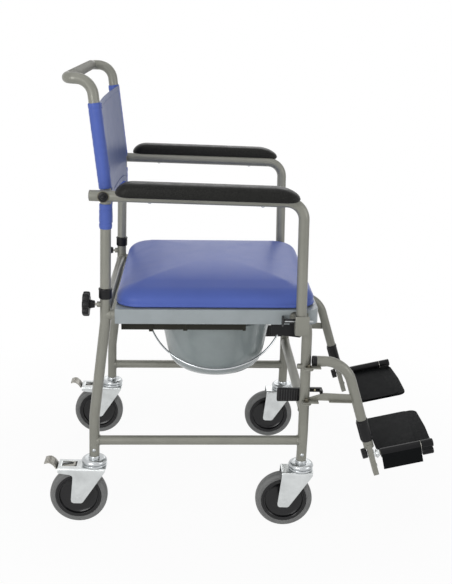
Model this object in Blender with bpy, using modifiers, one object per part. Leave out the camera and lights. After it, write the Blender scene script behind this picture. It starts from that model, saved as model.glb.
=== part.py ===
# Wheeled commode chair: every sub-part as its own named object.
# Metres, +Z up, +X forward (the way a person in the chair faces), +Y to that person's left.
# Chair coordinates put x = 0 at the rear caster stems and y = 0 at the middle of the chair.
# The datum empty moves them so that the origin lies under the middle of the whole chair.

from math import atan2, cos, pi, radians, sin, tan

import bmesh
import bpy
from mathutils import Matrix, Vector

# Overall sizes
FRAME_WIDTH = 0.460
STEM_SPACING = 0.4495
DATUM_X = 0.3164
GAP = 0.0003
RIGHT = -1
LEFT = 1

# Frame tubes
TUBE_R = 0.011
POST_BOTTOM = 0.156
POST_KINK_LOW = 0.247
POST_KINK_HIGH = 0.4595
POST_OFFSET = 0.0222
POST_TOP = 0.531
POST_KINK_RADIUS = 0.06
LOWER_RAIL_REAR_Z = 0.191
LOWER_RAIL_FRONT_Z = 0.202
LOWER_CROSS_Z = 0.270
SEAT_RAIL_BEND = 0.040
FRONT_KINK_Z = 0.222

# Seat slope: the seat parts are laid out level, then tilted about the seat datum
SEAT_TILT = radians(1.4)
SEAT_RAIL_Z = 0.4765
PLATE_REAR_X = 0.0425
PLATE_FRONT_X = STEM_SPACING + 0.0155
PLATE_HALF_WIDTH = FRAME_WIDTH / 2 + TUBE_R + 0.0025
PLATE_WALL = 0.0022
PLATE_TOP_THICKNESS = 0.003
PLATE_SKIRT = 0.0315
PLATE_CORNER_R = 0.024
PLATE_HOLE_R = 0.115
NOTCH_X = STEM_SPACING - 0.0355

# Cushion
CUSHION_REAR_X = 0.0420
CUSHION_FRONT_X = STEM_SPACING + 0.0105
CUSHION_HALF_WIDTH = FRAME_WIDTH / 2 + 0.0085
CUSHION_SIDE_HEIGHT = 0.030
CUSHION_CROWN = 0.021
CUSHION_CORNER_R = 0.055

# Pan, its rails and its bail
PAN_X = STEM_SPACING - 0.1930
PAN_FLANGE_R = 0.168
PAN_FLANGE_THICKNESS = 0.003
PAN_RIM_R = 0.134
PAN_DEPTH = 0.1525
PAN_WALL = 0.0022
PAN_RAIL_WALL = 0.003
PAN_RAIL_LEDGE = 0.022
PAN_RAIL_HEIGHT = 0.066
PAN_RAIL_REAR_X = 0.050
PAN_RAIL_FRONT_X = PAN_X + 0.0615
PAN_STOP_X = (STEM_SPACING - 0.0775, STEM_SPACING - 0.0125)
BAIL_R = 0.157
BAIL_WIRE_R = 0.0022
BAIL_REST = radians(46)
BAIL_DROP = 0.0062

# Casters
WHEEL_R = 0.0625
WHEEL_TRAIL = 0.0335
TYRE_HALF_WIDTH = 0.013
HUB_R = 0.0497
AXLE_R = 0.004
AXLE_CLEARANCE = 0.0004
FORK_HALF_WIDTH = 0.0245
FORK_SHEET = 0.0025
FORK_TOP = 0.134
FORK_NOSE_R = 0.0272
HEAD_R = 0.0272
STEM_R = 0.0076
STEM_INSIDE = 0.030
BRAKE_REAR_X = -0.077
PLAIN_REAR_X = -0.0425
BRAKE_PIVOT_X = -0.043
BRAKE_PIVOT_Z = 0.1305
BRAKE_PIN_R = 0.0019
BRAKE_HALF_WIDTH = 0.0112
PEDAL_HALF_WIDTH = 0.0170
PEDAL_SHEET = 0.0025

# Back
BACK_STOP_Z = 0.5336
SPIGOT_R = 0.0092
SPIGOT_LENGTH = 0.072
BORE_CLEARANCE = 0.0005
BACK_LEAN = radians(7.6)
BACK_LEAN_Z = 0.735
HANDLE_Z = 0.953
HANDLE_X = -0.054
HANDLE_BEND = 0.0175
HANDLE_TOP_BEND = 0.034
COLLAR_R = 0.0138
COLLAR_HEIGHT = 0.0238
COLLAR_LIP = 0.0020
SLING_SHEET = 0.0022
SLING_TUNNEL_R = 0.0131
SLING_BOTTOM_Z = 0.6585
SLING_SHEET_BOTTOM_Z = 0.690
SLING_TOP_Z = 0.9075
SLING_CUTOUT = (0.7095, 0.7405)
SLING_BOW = 0.020
CLAMP_Z = 0.498
CLAMP_SCREW_R = 0.003
CLAMP_KNOB_R = 0.0260
CLAMP_KNOB_LENGTH = 0.014
CLAMP_KNOB_REAR_X = -0.024

# Armrests
ARM_Y = FRAME_WIDTH / 2 + 2 * TUBE_R + 0.0055
ARM_Z = 0.7302
ARM_REAR_X = -0.0077
ARM_BEND_R = 0.036
ARM_LEG_SLOPE = 0.035
ARM_LEG_X = STEM_SPACING - 0.0232
ARM_LEG_X_AT_Z = 0.4910
ARM_LEG_BOTTOM = 0.4530
ARM_PIVOT_X = 0.0205
ARM_BOLT_R = 0.004
PAD_REAR_X = 0.0442
PAD_FRONT_X = STEM_SPACING - 0.0425
PAD_HALF_WIDTH = 0.0262
PAD_Y = ARM_Y + 0.0215
PAD_BOTTOM = 0.7355
PAD_THICKNESS = 0.0285
PAD_ROUND = 0.0100
SOCKET_MIDDLE_Z = 0.4752
SOCKET_HEIGHT = 0.0405
SOCKET_WALL = 0.0014
SOCKET_FRONT = 0.0157
LOCK_Z = 0.4820
LOCK_PIN_R = 0.0027
LOCK_BARREL_R = 0.0050
LOCK_BARREL_REAR_X = STEM_SPACING - 0.0585
LOCK_DISC_R = 0.0112
LOCK_DISC_THICKNESS = 0.0042
LOCK_PIN_FRONT_X = STEM_SPACING + 0.0020

# Legrests
LEGREST_HINGE_Y = FRAME_WIDTH / 2 + TUBE_R + 0.0115
LEGREST_Y = FRAME_WIDTH / 2 + 0.0075
LEGREST_PLATE_Y = FRAME_WIDTH / 2 + TUBE_R + 0.0005
LEGREST_R = 0.0110
LEGREST_SPIGOT_R = 0.0095
LEGREST_TOP_Z = 0.3885
LEGREST_CAP_X = STEM_SPACING + 0.0088
LEGREST_BEND = 0.062
LUG_R = 0.0105
LUG_SHEET = 0.003
LUG_PIN_R = 0.0040
UPPER_LUG_Z = 0.3740
LOWER_LUG_Z = 0.2960
UPPER_PIN_LENGTH = 0.0090
LOWER_PIN_LENGTH = 0.0110
STEM_TILT = radians(18.3)
SLEEVE_TOP_X = STEM_SPACING + 0.1238
SLEEVE_TOP_Z = 0.2573
SLEEVE_LENGTH = 0.050
SLEEVE_R = 0.0127
SLEEVE_LIP = 0.0035
FOOT_TUBE_R = 0.0110
FOOT_TUBE_LENGTH = 0.064
FOOT_BORE_DEPTH = 0.059
LEGREST_INSIDE = 0.042
BLADE_END = 0.134
BLADE_THICKNESS = 0.0115
BLADE_HALF_WIDTH = 0.0125
FOOT_KNOB_S = 0.0800
FOOT_KNOB_R = 0.0115
FOOT_KNOB_LENGTH = 0.012

# Footplates
FOOT_TILT = radians(14)
BARREL_X = STEM_SPACING + 0.1700
BARREL_Z = 0.183
BARREL_Y = FRAME_WIDTH / 2 + 0.0135
BARREL_R = 0.0090
BARREL_LENGTH = 0.1155
HINGE_PIN_R = 0.0040
HINGE_PIN_LENGTH = 0.083
FOOTPLATE_DROP = 0.0060
FOOTPLATE_THICKNESS = 0.0060
FOOTPLATE_INNER_Y = FRAME_WIDTH / 2 - 0.178
FOOTPLATE_FRONT = 0.1195
FOOTPLATE_SKIRT = 0.037
FOOTPLATE_SKIRT_LENGTH = 0.0875

# Legrest latches
LATCH_Y = FRAME_WIDTH / 2 - TUBE_R - 0.0070
LATCH_HALF_THICKNESS = 0.0040
LATCH_NECK = (0.3000, 0.3160)
LATCH_EAR = 0.0024
LATCH_PIN_R = 0.0019

PARTS = bpy.data.collections.new("wheeled_commode_chair")
CUTTERS = bpy.data.collections.new("cutters")


# Scene, materials and frames of reference

def clear_scene():
    for obj in list(bpy.data.objects):
        bpy.data.objects.remove(obj, do_unlink=True)
    bpy.context.scene.collection.children.link(PARTS)
    bpy.context.scene.collection.children.link(CUTTERS)


def material(name, colour, roughness, metallic=0.0):
    mat = bpy.data.materials.new(name)
    mat.use_nodes = True
    shader = mat.node_tree.nodes["Principled BSDF"]
    shader.inputs["Base Color"].default_value = (*colour, 1.0)
    shader.inputs["Roughness"].default_value = roughness
    shader.inputs["Metallic"].default_value = metallic
    mat.diffuse_color = (*colour, 1.0)
    return mat


def empty(name, location, parent=None, tilt=0.0):
    obj = bpy.data.objects.new(name, None)
    obj.location = location
    obj.rotation_euler = (0.0, tilt, 0.0)
    obj.parent = parent
    PARTS.objects.link(obj)
    return obj


# Shapes: each is made hidden among the cutters, and part() brings out the ones that are sub-parts

def helper_object(name, data, frame):
    obj = bpy.data.objects.new(name, data)
    obj.parent = frame
    obj.hide_render = True
    obj.display_type = "WIRE"
    CUTTERS.objects.link(obj)
    return obj


def from_bmesh(name, bm, frame):
    mesh = bpy.data.meshes.new(name)
    bm.to_mesh(mesh)
    bm.free()
    return helper_object(name, mesh, frame)


def direction_matrix(start, end):
    start = Vector(start)
    axis = Vector(end) - start
    turn = axis.to_track_quat("Z", "Y").to_matrix().to_4x4()
    return Matrix.Translation(start + axis / 2) @ turn, axis.length


def cylinder(frame, start, end, radius, sides=16, end_radius=None):
    bm = bmesh.new()
    place, depth = direction_matrix(start, end)
    top = radius if end_radius is None else end_radius
    bmesh.ops.create_cone(bm, cap_ends=True, segments=sides, radius1=radius, radius2=top,
                          depth=depth, matrix=place)
    return from_bmesh("cylinder", bm, frame)


def box(frame, low, high, bevel=0.0, segments=2):
    low = Vector(low)
    high = Vector(high)
    size = Vector(abs(b - a) for a, b in zip(low, high))
    bm = bmesh.new()
    place = Matrix.Translation((low + high) / 2) @ Matrix.Diagonal((*size, 1.0))
    bmesh.ops.create_cube(bm, size=1.0, matrix=place)
    obj = from_bmesh("box", bm, frame)
    if bevel:
        add_bevel(obj, bevel, segments)
    return obj


def add_bevel(obj, width, segments=2, angle=radians(30)):
    mod = obj.modifiers.new("Bevel", "BEVEL")
    mod.width = width
    mod.segments = segments
    mod.limit_method = "ANGLE"
    mod.angle_limit = angle


def fillet(points, radii, steps=5):
    # A polyline through the corner points, with an arc of the given radius at each inner corner
    points = [Vector(p) for p in points]
    path = [points[0]]
    for before, corner, after, radius in zip(points, points[1:], points[2:], radii):
        if radius <= 0:
            path.append(corner)
            continue
        into = (before - corner).normalized()
        out = (after - corner).normalized()
        half = into.angle(out) / 2
        reach = radius / tan(half)
        centre = corner + (into + out).normalized() * (radius / sin(half))
        first = corner + into * reach - centre
        last = corner + out * reach - centre
        sweep = first.angle(last)
        for k in range(steps + 1):
            t = k / steps
            mix = (first * sin((1 - t) * sweep) + last * sin(t * sweep)) / sin(sweep)
            path.append(centre + mix)
    path.append(points[-1])
    return path


def curve_object(name, points, frame, closed=False, flat=False):
    data = bpy.data.curves.new(name, "CURVE")
    data.dimensions = "2D" if flat else "3D"
    data.render_resolution_u = 0
    spline = data.splines.new("POLY")
    spline.points.add(len(points) - 1)
    for point, co in zip(spline.points, points):
        point.co = (co[0], co[1], 0.0 if flat else co[2], 1.0)
    spline.use_cyclic_u = closed
    return helper_object(name, data, frame)


def to_closed_mesh(obj):
    # Makes a closed mesh of a curve or a turned profile: loose caps are welded on, faces point out
    bpy.context.view_layer.update()
    graph = bpy.context.evaluated_depsgraph_get()
    mesh = bpy.data.meshes.new_from_object(obj.evaluated_get(graph))
    bm = bmesh.new()
    bm.from_mesh(mesh)
    bmesh.ops.remove_doubles(bm, verts=bm.verts, dist=1e-6)
    bmesh.ops.recalc_face_normals(bm, faces=bm.faces)
    bm.to_mesh(mesh)
    bm.free()
    solid = helper_object(obj.name, mesh, obj.parent)
    solid.matrix_basis = obj.matrix_basis
    bpy.data.objects.remove(obj, do_unlink=True)
    return solid


def tube(frame, points, radius, sides=12):
    curve = curve_object("tube", points, frame)
    curve.data.bevel_depth = radius
    curve.data.bevel_resolution = (sides - 4) // 2
    curve.data.use_fill_caps = True
    curve.data.twist_mode = "MINIMUM"
    return to_closed_mesh(curve)


def flat_plate(frame, outline, thickness, place, rounding=0.0, round_steps=2):
    # A flat outline in the plane of place's X and Y, its thickness centred on that plane
    curve = curve_object("plate", outline, frame, closed=True, flat=True)
    curve.data.fill_mode = "BOTH"
    curve.data.extrude = thickness / 2 - rounding
    curve.data.bevel_depth = rounding
    curve.data.bevel_resolution = round_steps
    curve.matrix_basis = place
    solid = to_closed_mesh(curve)
    solid.data.transform(solid.matrix_basis)
    solid.matrix_basis = Matrix.Identity(4)
    return solid


def turned(frame, profile, place, steps=32, closed=False):
    # The profile is (radius, height) pairs in order along it
    mesh = bpy.data.meshes.new("turned")
    count = len(profile)
    edges = [(i, i + 1) for i in range(count - 1)]
    if closed:
        edges.append((count - 1, 0))
    mesh.from_pydata([(r, 0.0, z) for r, z in profile], edges, [])
    obj = helper_object("turned", mesh, frame)
    mod = obj.modifiers.new("Screw", "SCREW")
    mod.axis = "Z"
    mod.steps = steps
    mod.render_steps = steps
    mod.use_merge_vertices = True
    mod.merge_threshold = 1e-5
    obj.matrix_basis = place
    return to_closed_mesh(obj)


def combine(base, adds=(), cuts=()):
    for operation, tools in (("UNION", adds), ("DIFFERENCE", cuts)):
        for tool in tools:
            mod = base.modifiers.new(operation.title(), "BOOLEAN")
            mod.operation = operation
            mod.solver = "EXACT"
            mod.object = tool
    return base


def part(name, base, mat, pivot=None, smooth=radians(40)):
    # Turns a shape into a sub-part: its modifiers are applied and its origin goes to the pivot
    bpy.context.view_layer.update()
    graph = bpy.context.evaluated_depsgraph_get()
    mesh = bpy.data.meshes.new_from_object(base.evaluated_get(graph))
    mesh.transform(base.matrix_basis)
    frame = base.parent
    pivot = Vector(pivot) if pivot is not None else Vector((0.0, 0.0, 0.0))
    mesh.transform(Matrix.Translation(-pivot))
    mesh.name = name
    mesh.materials.clear()
    mesh.materials.append(mat)
    mesh.shade_smooth()
    mesh.set_sharp_from_angle(angle=smooth)
    obj = bpy.data.objects.new(name, mesh)
    obj.parent = frame
    obj.location = pivot
    PARTS.objects.link(obj)
    return obj


def arc(centre, radius, start, end, steps):
    return [(centre[0] + radius * cos(start + (end - start) * k / steps),
             centre[1] + radius * sin(start + (end - start) * k / steps)) for k in range(steps + 1)]


def rounded_outline(corners, steps=5):
    # corners are (x, y, radius); the result is a closed outline with an arc at each
    count = len(corners)
    outline = []
    for i in range(count):
        before = corners[i - 1][:2]
        here = corners[i]
        after = corners[(i + 1) % count][:2]
        run = fillet([(*before, 0), (*here[:2], 0), (*after, 0)], [here[2]], steps)
        outline.extend((p.x, p.y) for p in run[1:-1])
    return outline


XZ_PLANE = Matrix.Rotation(pi / 2, 4, "X")
ALONG_Y = Matrix.Rotation(-pi / 2, 4, "X")
ALONG_X = Matrix.Rotation(pi / 2, 4, "Y")


def side_name(name, side):
    return f"{name}_{'right' if side == RIGHT else 'left'}"


def at(x, y, z):
    return Matrix.Translation((x, y, z))


# The frame

def front_post_x(z):
    # The front post stands square to the seat rail above its kink, so it leans back with the seat's tilt
    return STEM_SPACING - max(z - FRONT_KINK_Z, 0.0) * tan(SEAT_TILT)


def front_corner():
    slope = tan(SEAT_TILT)
    x = (STEM_SPACING - (SEAT_RAIL_Z - FRONT_KINK_Z) * slope) / (1 + slope * slope)
    return x, SEAT_RAIL_Z + x * slope


def front_cross_x():
    return front_corner()[0] - SEAT_RAIL_BEND - 0.004


def rear_post_path(y):
    corners = [(0, y, POST_BOTTOM), (0, y, POST_KINK_LOW),
               (POST_OFFSET, y, POST_KINK_HIGH), (POST_OFFSET, y, POST_TOP)]
    return fillet(corners, [POST_KINK_RADIUS] * 2, 1)


def front_post_and_seat_rail_path(y):
    corner_x, corner_z = front_corner()
    corners = [(STEM_SPACING, y, POST_BOTTOM), (STEM_SPACING, y, FRONT_KINK_Z), (corner_x, y, corner_z),
               (POST_OFFSET, y, SEAT_RAIL_Z + POST_OFFSET * tan(SEAT_TILT))]
    return fillet(corners, [0.0, SEAT_RAIL_BEND], 4)


def lug_solids(frame, y, side):
    # The two hinge lugs for the legrest: a round plate on a neck from the post, with its pin
    solids = []
    for z, pin in ((UPPER_LUG_Z, UPPER_PIN_LENGTH), (LOWER_LUG_Z, LOWER_PIN_LENGTH)):
        hinge_y = side * LEGREST_HINGE_Y
        top = z + LUG_SHEET
        solids.append(cylinder(frame, (STEM_SPACING, hinge_y, z), (STEM_SPACING, hinge_y, top), LUG_R, 16))
        solids.append(cylinder(frame, (STEM_SPACING, hinge_y, z + LUG_SHEET / 2),
                               (STEM_SPACING, hinge_y, top + pin), LUG_PIN_R, 12))
        solids.append(box(frame, (STEM_SPACING - 0.0085, y, z + 0.0002),
                          (STEM_SPACING + 0.0055, hinge_y, top - 0.0002)))
    solids.append(cylinder(frame, (STEM_SPACING, y + side * 0.003, UPPER_LUG_Z),
                           (STEM_SPACING - TUBE_R - 0.0115, y + side * 0.003, UPPER_LUG_Z), 0.0058, 10))
    return solids


def latch_ears(frame, side):
    # Two ears on the inner side of the front post, and the pin that the latch turns on
    outer = side * (FRAME_WIDTH / 2 - TUBE_R / 2)
    inner = side * (LATCH_Y - 0.0045)
    low, high = LATCH_NECK
    solids = []
    for z in (low - GAP - LATCH_EAR, high + GAP):
        solids.append(box(frame, (STEM_SPACING - 0.0060, outer, z),
                          (STEM_SPACING + 0.0050, inner, z + LATCH_EAR)))
    solids.append(cylinder(frame, (STEM_SPACING, side * LATCH_Y, low - GAP - LATCH_EAR / 2),
                           (STEM_SPACING, side * LATCH_Y, high + GAP + LATCH_EAR / 2), LATCH_PIN_R, 8))
    return solids


def socket_frame(frame, side):
    # It leans with the arm's leg: its +Z runs up along the leg
    middle = SOCKET_MIDDLE_Z
    return empty(side_name("socket_frame", side), (arm_leg_x(middle), side * ARM_Y, middle), frame, -ARM_LEG_SLOPE)


def arm_socket_solids(frame, side):
    # A channel that is open to the front and stands on the front post, with the plunger's barrel
    socket = socket_frame(frame, side)
    half = TUBE_R + 0.0006 + SOCKET_WALL
    bottom = SOCKET_MIDDLE_Z - SOCKET_HEIGHT / 2
    shell = box(socket, (-half, -half, -SOCKET_HEIGHT / 2), (SOCKET_FRONT, half, SOCKET_HEIGHT / 2))
    add_bevel(shell, 0.003, 2, radians(60))
    barrel = cylinder(frame, (LOCK_BARREL_REAR_X, side * ARM_Y, LOCK_Z),
                      (arm_leg_x(LOCK_Z) - half + SOCKET_WALL / 2, side * ARM_Y, LOCK_Z), LOCK_BARREL_R, 12)
    foot = box(frame, (STEM_SPACING - TUBE_R, side * (FRAME_WIDTH / 2), bottom + 0.0006),
               (arm_leg_x(bottom) + SOCKET_FRONT - 0.0008, side * (ARM_Y - half + SOCKET_WALL / 2), bottom + 0.013))
    return [shell, foot, barrel]


def arm_socket_cutters(frame, side):
    socket = bpy.data.objects[side_name("socket_frame", side)]
    half = TUBE_R + 0.0006
    room = box(socket, (-half, -half, -0.03), (SOCKET_FRONT + 0.01, half, 0.03))
    pin = cylinder(frame, (LOCK_BARREL_REAR_X - 0.01, side * ARM_Y, LOCK_Z),
                   (arm_leg_x(LOCK_Z), side * ARM_Y, LOCK_Z), LOCK_PIN_R + 2 * GAP, 10)
    return [room, pin]


def side_frame(frame, side, mat):
    y = side * FRAME_WIDTH / 2
    base = tube(frame, rear_post_path(y), TUBE_R)
    front = tube(frame, front_post_and_seat_rail_path(y), TUBE_R)
    lower = tube(frame, [(0, y, LOWER_RAIL_REAR_Z), (STEM_SPACING, y, LOWER_RAIL_FRONT_Z)], TUBE_R * 0.93)
    boss = cylinder(frame, (POST_OFFSET - TUBE_R - 0.006, y, CLAMP_Z), (POST_OFFSET - TUBE_R + 0.002, y, CLAMP_Z),
                    0.0062, 12)
    adds = [front, lower, boss]
    adds += arm_socket_solids(frame, side) + lug_solids(frame, y, side) + latch_ears(frame, side)
    spigot_bottom = BACK_STOP_Z - SPIGOT_LENGTH
    cuts = [cylinder(frame, (POST_OFFSET, y, spigot_bottom - 0.003), (POST_OFFSET, y, POST_TOP + 0.01),
                     SPIGOT_R + BORE_CLEARANCE, 16)]
    cuts.append(cylinder(frame, (POST_OFFSET - TUBE_R - 0.02, y, CLAMP_Z), (POST_OFFSET, y, CLAMP_Z),
                         CLAMP_SCREW_R + 2 * GAP, 10))
    for x in (0.0, STEM_SPACING):
        cuts.append(cylinder(frame, (x, y, POST_BOTTOM - 0.01), (x, y, POST_BOTTOM + STEM_INSIDE + 0.001),
                             STEM_R + GAP, 16))
    cuts += arm_socket_cutters(frame, side)
    combine(base, adds, cuts)
    return part(side_name("side_frame", side), base, mat)


def cross_tubes(frame, mat):
    reach = FRAME_WIDTH / 2 - TUBE_R - GAP
    places = (("rear_cross_tube", POST_OFFSET, SEAT_RAIL_Z + POST_OFFSET * tan(SEAT_TILT)),
              ("front_cross_tube", front_cross_x(), SEAT_RAIL_Z + front_cross_x() * tan(SEAT_TILT)),
              ("lower_cross_tube", front_post_x(LOWER_CROSS_Z), LOWER_CROSS_Z))
    for name, x, z in places:
        base = tube(frame, [(x, -reach, z), (x, reach, z)], TUBE_R)
        part(name, base, mat)


def post_collar(frame, side, mat):
    y = side * FRAME_WIDTH / 2
    top = BACK_STOP_Z - GAP
    lip = top - COLLAR_LIP
    bottom = top - COLLAR_HEIGHT
    outer = COLLAR_R
    wide = TUBE_R + BORE_CLEARANCE
    narrow = SPIGOT_R + BORE_CLEARANCE
    profile = [(narrow, top), (outer - 0.001, top), (outer, top - 0.001), (outer, bottom + 0.001),
               (outer - 0.001, bottom), (wide, bottom), (wide, lip), (narrow, lip)]
    base = turned(frame, profile, at(POST_OFFSET, y, 0), 16, closed=True)
    part(side_name("post_collar", side), base, mat)


# The seat: plate, pan rails, pan, bail and cushion, in the tilted seat frame

def plate_under():
    return SEAT_RAIL_Z + TUBE_R + GAP


def plate_outline(inset):
    front = PLATE_FRONT_X - inset
    half = PLATE_HALF_WIDTH - inset
    radius = PLATE_CORNER_R - inset
    rear = PLATE_REAR_X - (0.05 if inset else 0.0)
    return rounded_outline([(rear, -half, 0.0), (front, -half, radius), (front, half, radius),
                            (rear, half, 0.0)], 6)


def seat_plate(seat, mat):
    top = plate_under() + PLATE_TOP_THICKNESS
    bottom = top - PLATE_SKIRT
    base = flat_plate(seat, plate_outline(0.0), PLATE_SKIRT, at(0, 0, (top + bottom) / 2))
    add_bevel(base, 0.0022, 2, radians(50))
    room = flat_plate(seat, plate_outline(PLATE_WALL), PLATE_SKIRT, at(0, 0, plate_under() - PLATE_SKIRT / 2))
    hole = cylinder(seat, (PAN_X, 0, bottom), (PAN_X, 0, top + 0.01), PLATE_HOLE_R, 32)
    cuts = [room, hole]
    for side in (RIGHT, LEFT):
        wall_y = side * PLATE_HALF_WIDTH
        notch_z = top - 0.0135
        inner = wall_y - side * 0.006
        outer = wall_y + side * 0.006
        notch_x = NOTCH_X
        cuts.append(cylinder(seat, (notch_x, inner, notch_z), (notch_x, outer, notch_z), 0.010, 16))
        cuts.append(box(seat, (notch_x - 0.010, inner, bottom - 0.01), (notch_x + 0.010, outer, notch_z)))
    combine(base, cuts=cuts)
    part("seat_plate", base, mat)


def pan_rail(seat, side, mat):
    # The rail stops short of the front; on the right a stop plate goes on from its flange
    top = plate_under() - GAP
    bottom = top - PAN_RAIL_HEIGHT
    inner_wall = PAN_FLANGE_R + 0.0015
    outer_wall = inner_wall + PAN_RAIL_WALL
    cross_x = front_cross_x()
    web = box(seat, (PAN_RAIL_REAR_X, side * inner_wall, bottom), (PAN_RAIL_FRONT_X, side * outer_wall, top))
    ledge = box(seat, (PAN_RAIL_REAR_X, side * (outer_wall - PAN_RAIL_LEDGE), bottom),
                (PAN_RAIL_FRONT_X, side * (outer_wall - 0.001), bottom + PAN_RAIL_WALL))
    flange = box(seat, (PAN_RAIL_REAR_X, side * (inner_wall + 0.001), top - PAN_RAIL_WALL),
                 (cross_x - TUBE_R - 0.002, side * (outer_wall + 0.014), top))
    adds = [ledge, flange]
    cuts = []
    if side == RIGHT:
        rear, front = PAN_STOP_X
        outline = [(rear, top - 0.0004), (rear, bottom - 0.0055), (front, bottom - 0.0135), (front, top - 0.030),
                   (cross_x + TUBE_R + 0.004, top - 0.0004)]
        adds.append(flat_plate(seat, outline, PAN_RAIL_WALL * 3, at(0, side * (inner_wall + 0.0047), 0) @ XZ_PLANE))
        cuts.append(box(seat, (cross_x - TUBE_R - 0.001, side * (inner_wall - 0.003), top - 0.024),
                        (cross_x + TUBE_R + 0.001, side * (outer_wall + 0.02), top + 0.001)))
    combine(web, adds, cuts)
    part(side_name("pan_rail", side), web, mat)


def ledge_top():
    return plate_under() - GAP - PAN_RAIL_HEIGHT + PAN_RAIL_WALL


def pan_profile():
    top = ledge_top() + GAP + PAN_FLANGE_THICKNESS
    under = top - PAN_FLANGE_THICKNESS
    floor = top - PAN_DEPTH
    wall = PAN_WALL
    outer = [(PAN_RIM_R, under), (0.1222, under - 0.047), (0.1162, under - 0.080), (0.1092, under - 0.1115),
             (0.0960, under - 0.1315), (0.0660, floor + 0.0035), (0.0, floor)]
    inner = [(0.0, floor + wall)]
    inner += [(r - wall, z + wall * 0.7) for r, z in reversed(outer[1:-1])]
    lip = [(PAN_RIM_R - wall, top - 0.003), (PAN_RIM_R - wall + 0.001, top + 0.004),
           (PAN_RIM_R + 0.003, top + 0.0055), (PAN_RIM_R + 0.007, top), (PAN_FLANGE_R, top),
           (PAN_FLANGE_R, under)]
    return inner + lip + outer


def bail_z():
    return ledge_top() + GAP - BAIL_DROP


def pan(seat, mat):
    base = turned(seat, pan_profile(), at(PAN_X, 0, 0), 24)
    under = ledge_top() + GAP
    adds = []
    cuts = []
    for sign in (-1, 1):
        inner = PAN_X + sign * (BAIL_R - 0.014)
        outer = PAN_X + sign * (BAIL_R - 0.006)
        adds.append(box(seat, (inner, -0.006, under - 0.0115), (outer, 0.006, under + 0.001)))
        cuts.append(cylinder(seat, (inner - sign * 0.004, 0, bail_z()), (outer + sign * 0.004, 0, bail_z()),
                             BAIL_WIRE_R + 0.0005, 12))
    combine(base, adds, cuts)
    part("pan", base, mat, (PAN_X, 0, under))


def pan_bail(seat, mat):
    # A half ring of wire that hangs round the right side of the bowl, its ends turned into the ears
    z = bail_z()
    stub = BAIL_R - 0.016
    ring = []
    steps = 16
    for k in range(steps + 1):
        a = pi * k / steps
        drop = BAIL_R * sin(a)
        ring.append((PAN_X - BAIL_R * cos(a), -sin(BAIL_REST) * drop, z - cos(BAIL_REST) * drop))
    points = [(PAN_X - stub, 0, z)] + ring + [(PAN_X + stub, 0, z)]
    radii = [0.004] + [0.0] * (steps - 1) + [0.004]
    base = tube(seat, fillet(points, radii, 2), BAIL_WIRE_R, 8)
    part("pan_bail", base, mat, (PAN_X, 0, z))


def superellipse_ring(half_x, half_y, corner, count):
    # Points round a rounded rectangle, evenly spaced by angle of its corner arcs and straight runs
    outline = rounded_outline([(-half_x, -half_y, corner), (half_x, -half_y, corner),
                               (half_x, half_y, corner), (-half_x, half_y, corner)], 5)
    lengths = [0.0]
    closed = outline + outline[:1]
    for a, b in zip(closed, closed[1:]):
        lengths.append(lengths[-1] + (Vector(b) - Vector(a)).length)
    ring = []
    for k in range(count):
        target = lengths[-1] * k / count
        i = max(j for j in range(len(outline)) if lengths[j] <= target)
        span = lengths[i + 1] - lengths[i]
        t = (target - lengths[i]) / span if span > 0 else 0.0
        ring.append(Vector(closed[i]).lerp(Vector(closed[i + 1]), t))
    return ring


def seat_cushion(seat, mat):
    # Level loops from the base up: base edge, welt, side, wide soft shoulder, then the crown
    bottom = plate_under() + PLATE_TOP_THICKNESS + GAP
    half_x = (CUSHION_FRONT_X - CUSHION_REAR_X) / 2
    half_y = CUSHION_HALF_WIDTH
    centre_x = (CUSHION_FRONT_X + CUSHION_REAR_X) / 2
    side = CUSHION_SIDE_HEIGHT
    crown = CUSHION_CROWN
    loops = [(0.006, 0.0), (0.0, 0.0035), (0.0010, side * 0.27), (0.0030, side * 0.55), (0.0070, side * 0.80),
             (0.0150, side * 1.03), (0.034, side + crown * 0.34), (0.075, side + crown * 0.68),
             (0.135, side + crown * 0.92)]
    count = 32
    bm = bmesh.new()
    rings = []
    for inset, height in loops:
        corner = max(CUSHION_CORNER_R - inset * 0.6, 0.02)
        points = superellipse_ring(half_x - inset, half_y - inset, corner, count)
        rings.append([bm.verts.new((centre_x + p.x, p.y, bottom + height)) for p in points])
    for low, high in zip(rings, rings[1:]):
        for i in range(count):
            j = (i + 1) % count
            bm.faces.new((low[i], low[j], high[j], high[i]))
    top = bm.verts.new((centre_x, 0, bottom + side + crown))
    for i in range(count):
        bm.faces.new((rings[-1][i], rings[-1][(i + 1) % count], top))
    bm.faces.new(list(reversed(rings[0])))
    base = from_bmesh("cushion", bm, seat)
    part("seat_cushion", base, mat, (centre_x, 0, bottom), radians(60))


# Casters

def caster_head(frame, name, x, y, mat):
    top = POST_BOTTOM - GAP
    under = FORK_TOP + GAP
    profile = [(0.0, top + STEM_INSIDE), (STEM_R, top + STEM_INSIDE), (STEM_R, top), (0.0112, top),
               (0.0118, top - 0.0055), (0.0210, top - 0.0058), (0.0250, top - 0.0072), (HEAD_R, top - 0.0105),
               (HEAD_R - 0.0040, top - 0.0150), (HEAD_R - 0.0014, under + 0.0040), (HEAD_R - 0.0020, under),
               (0.0, under)]
    base = turned(frame, profile, at(x, y, 0), 16)
    part(f"caster_head_{name}", base, mat)


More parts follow.
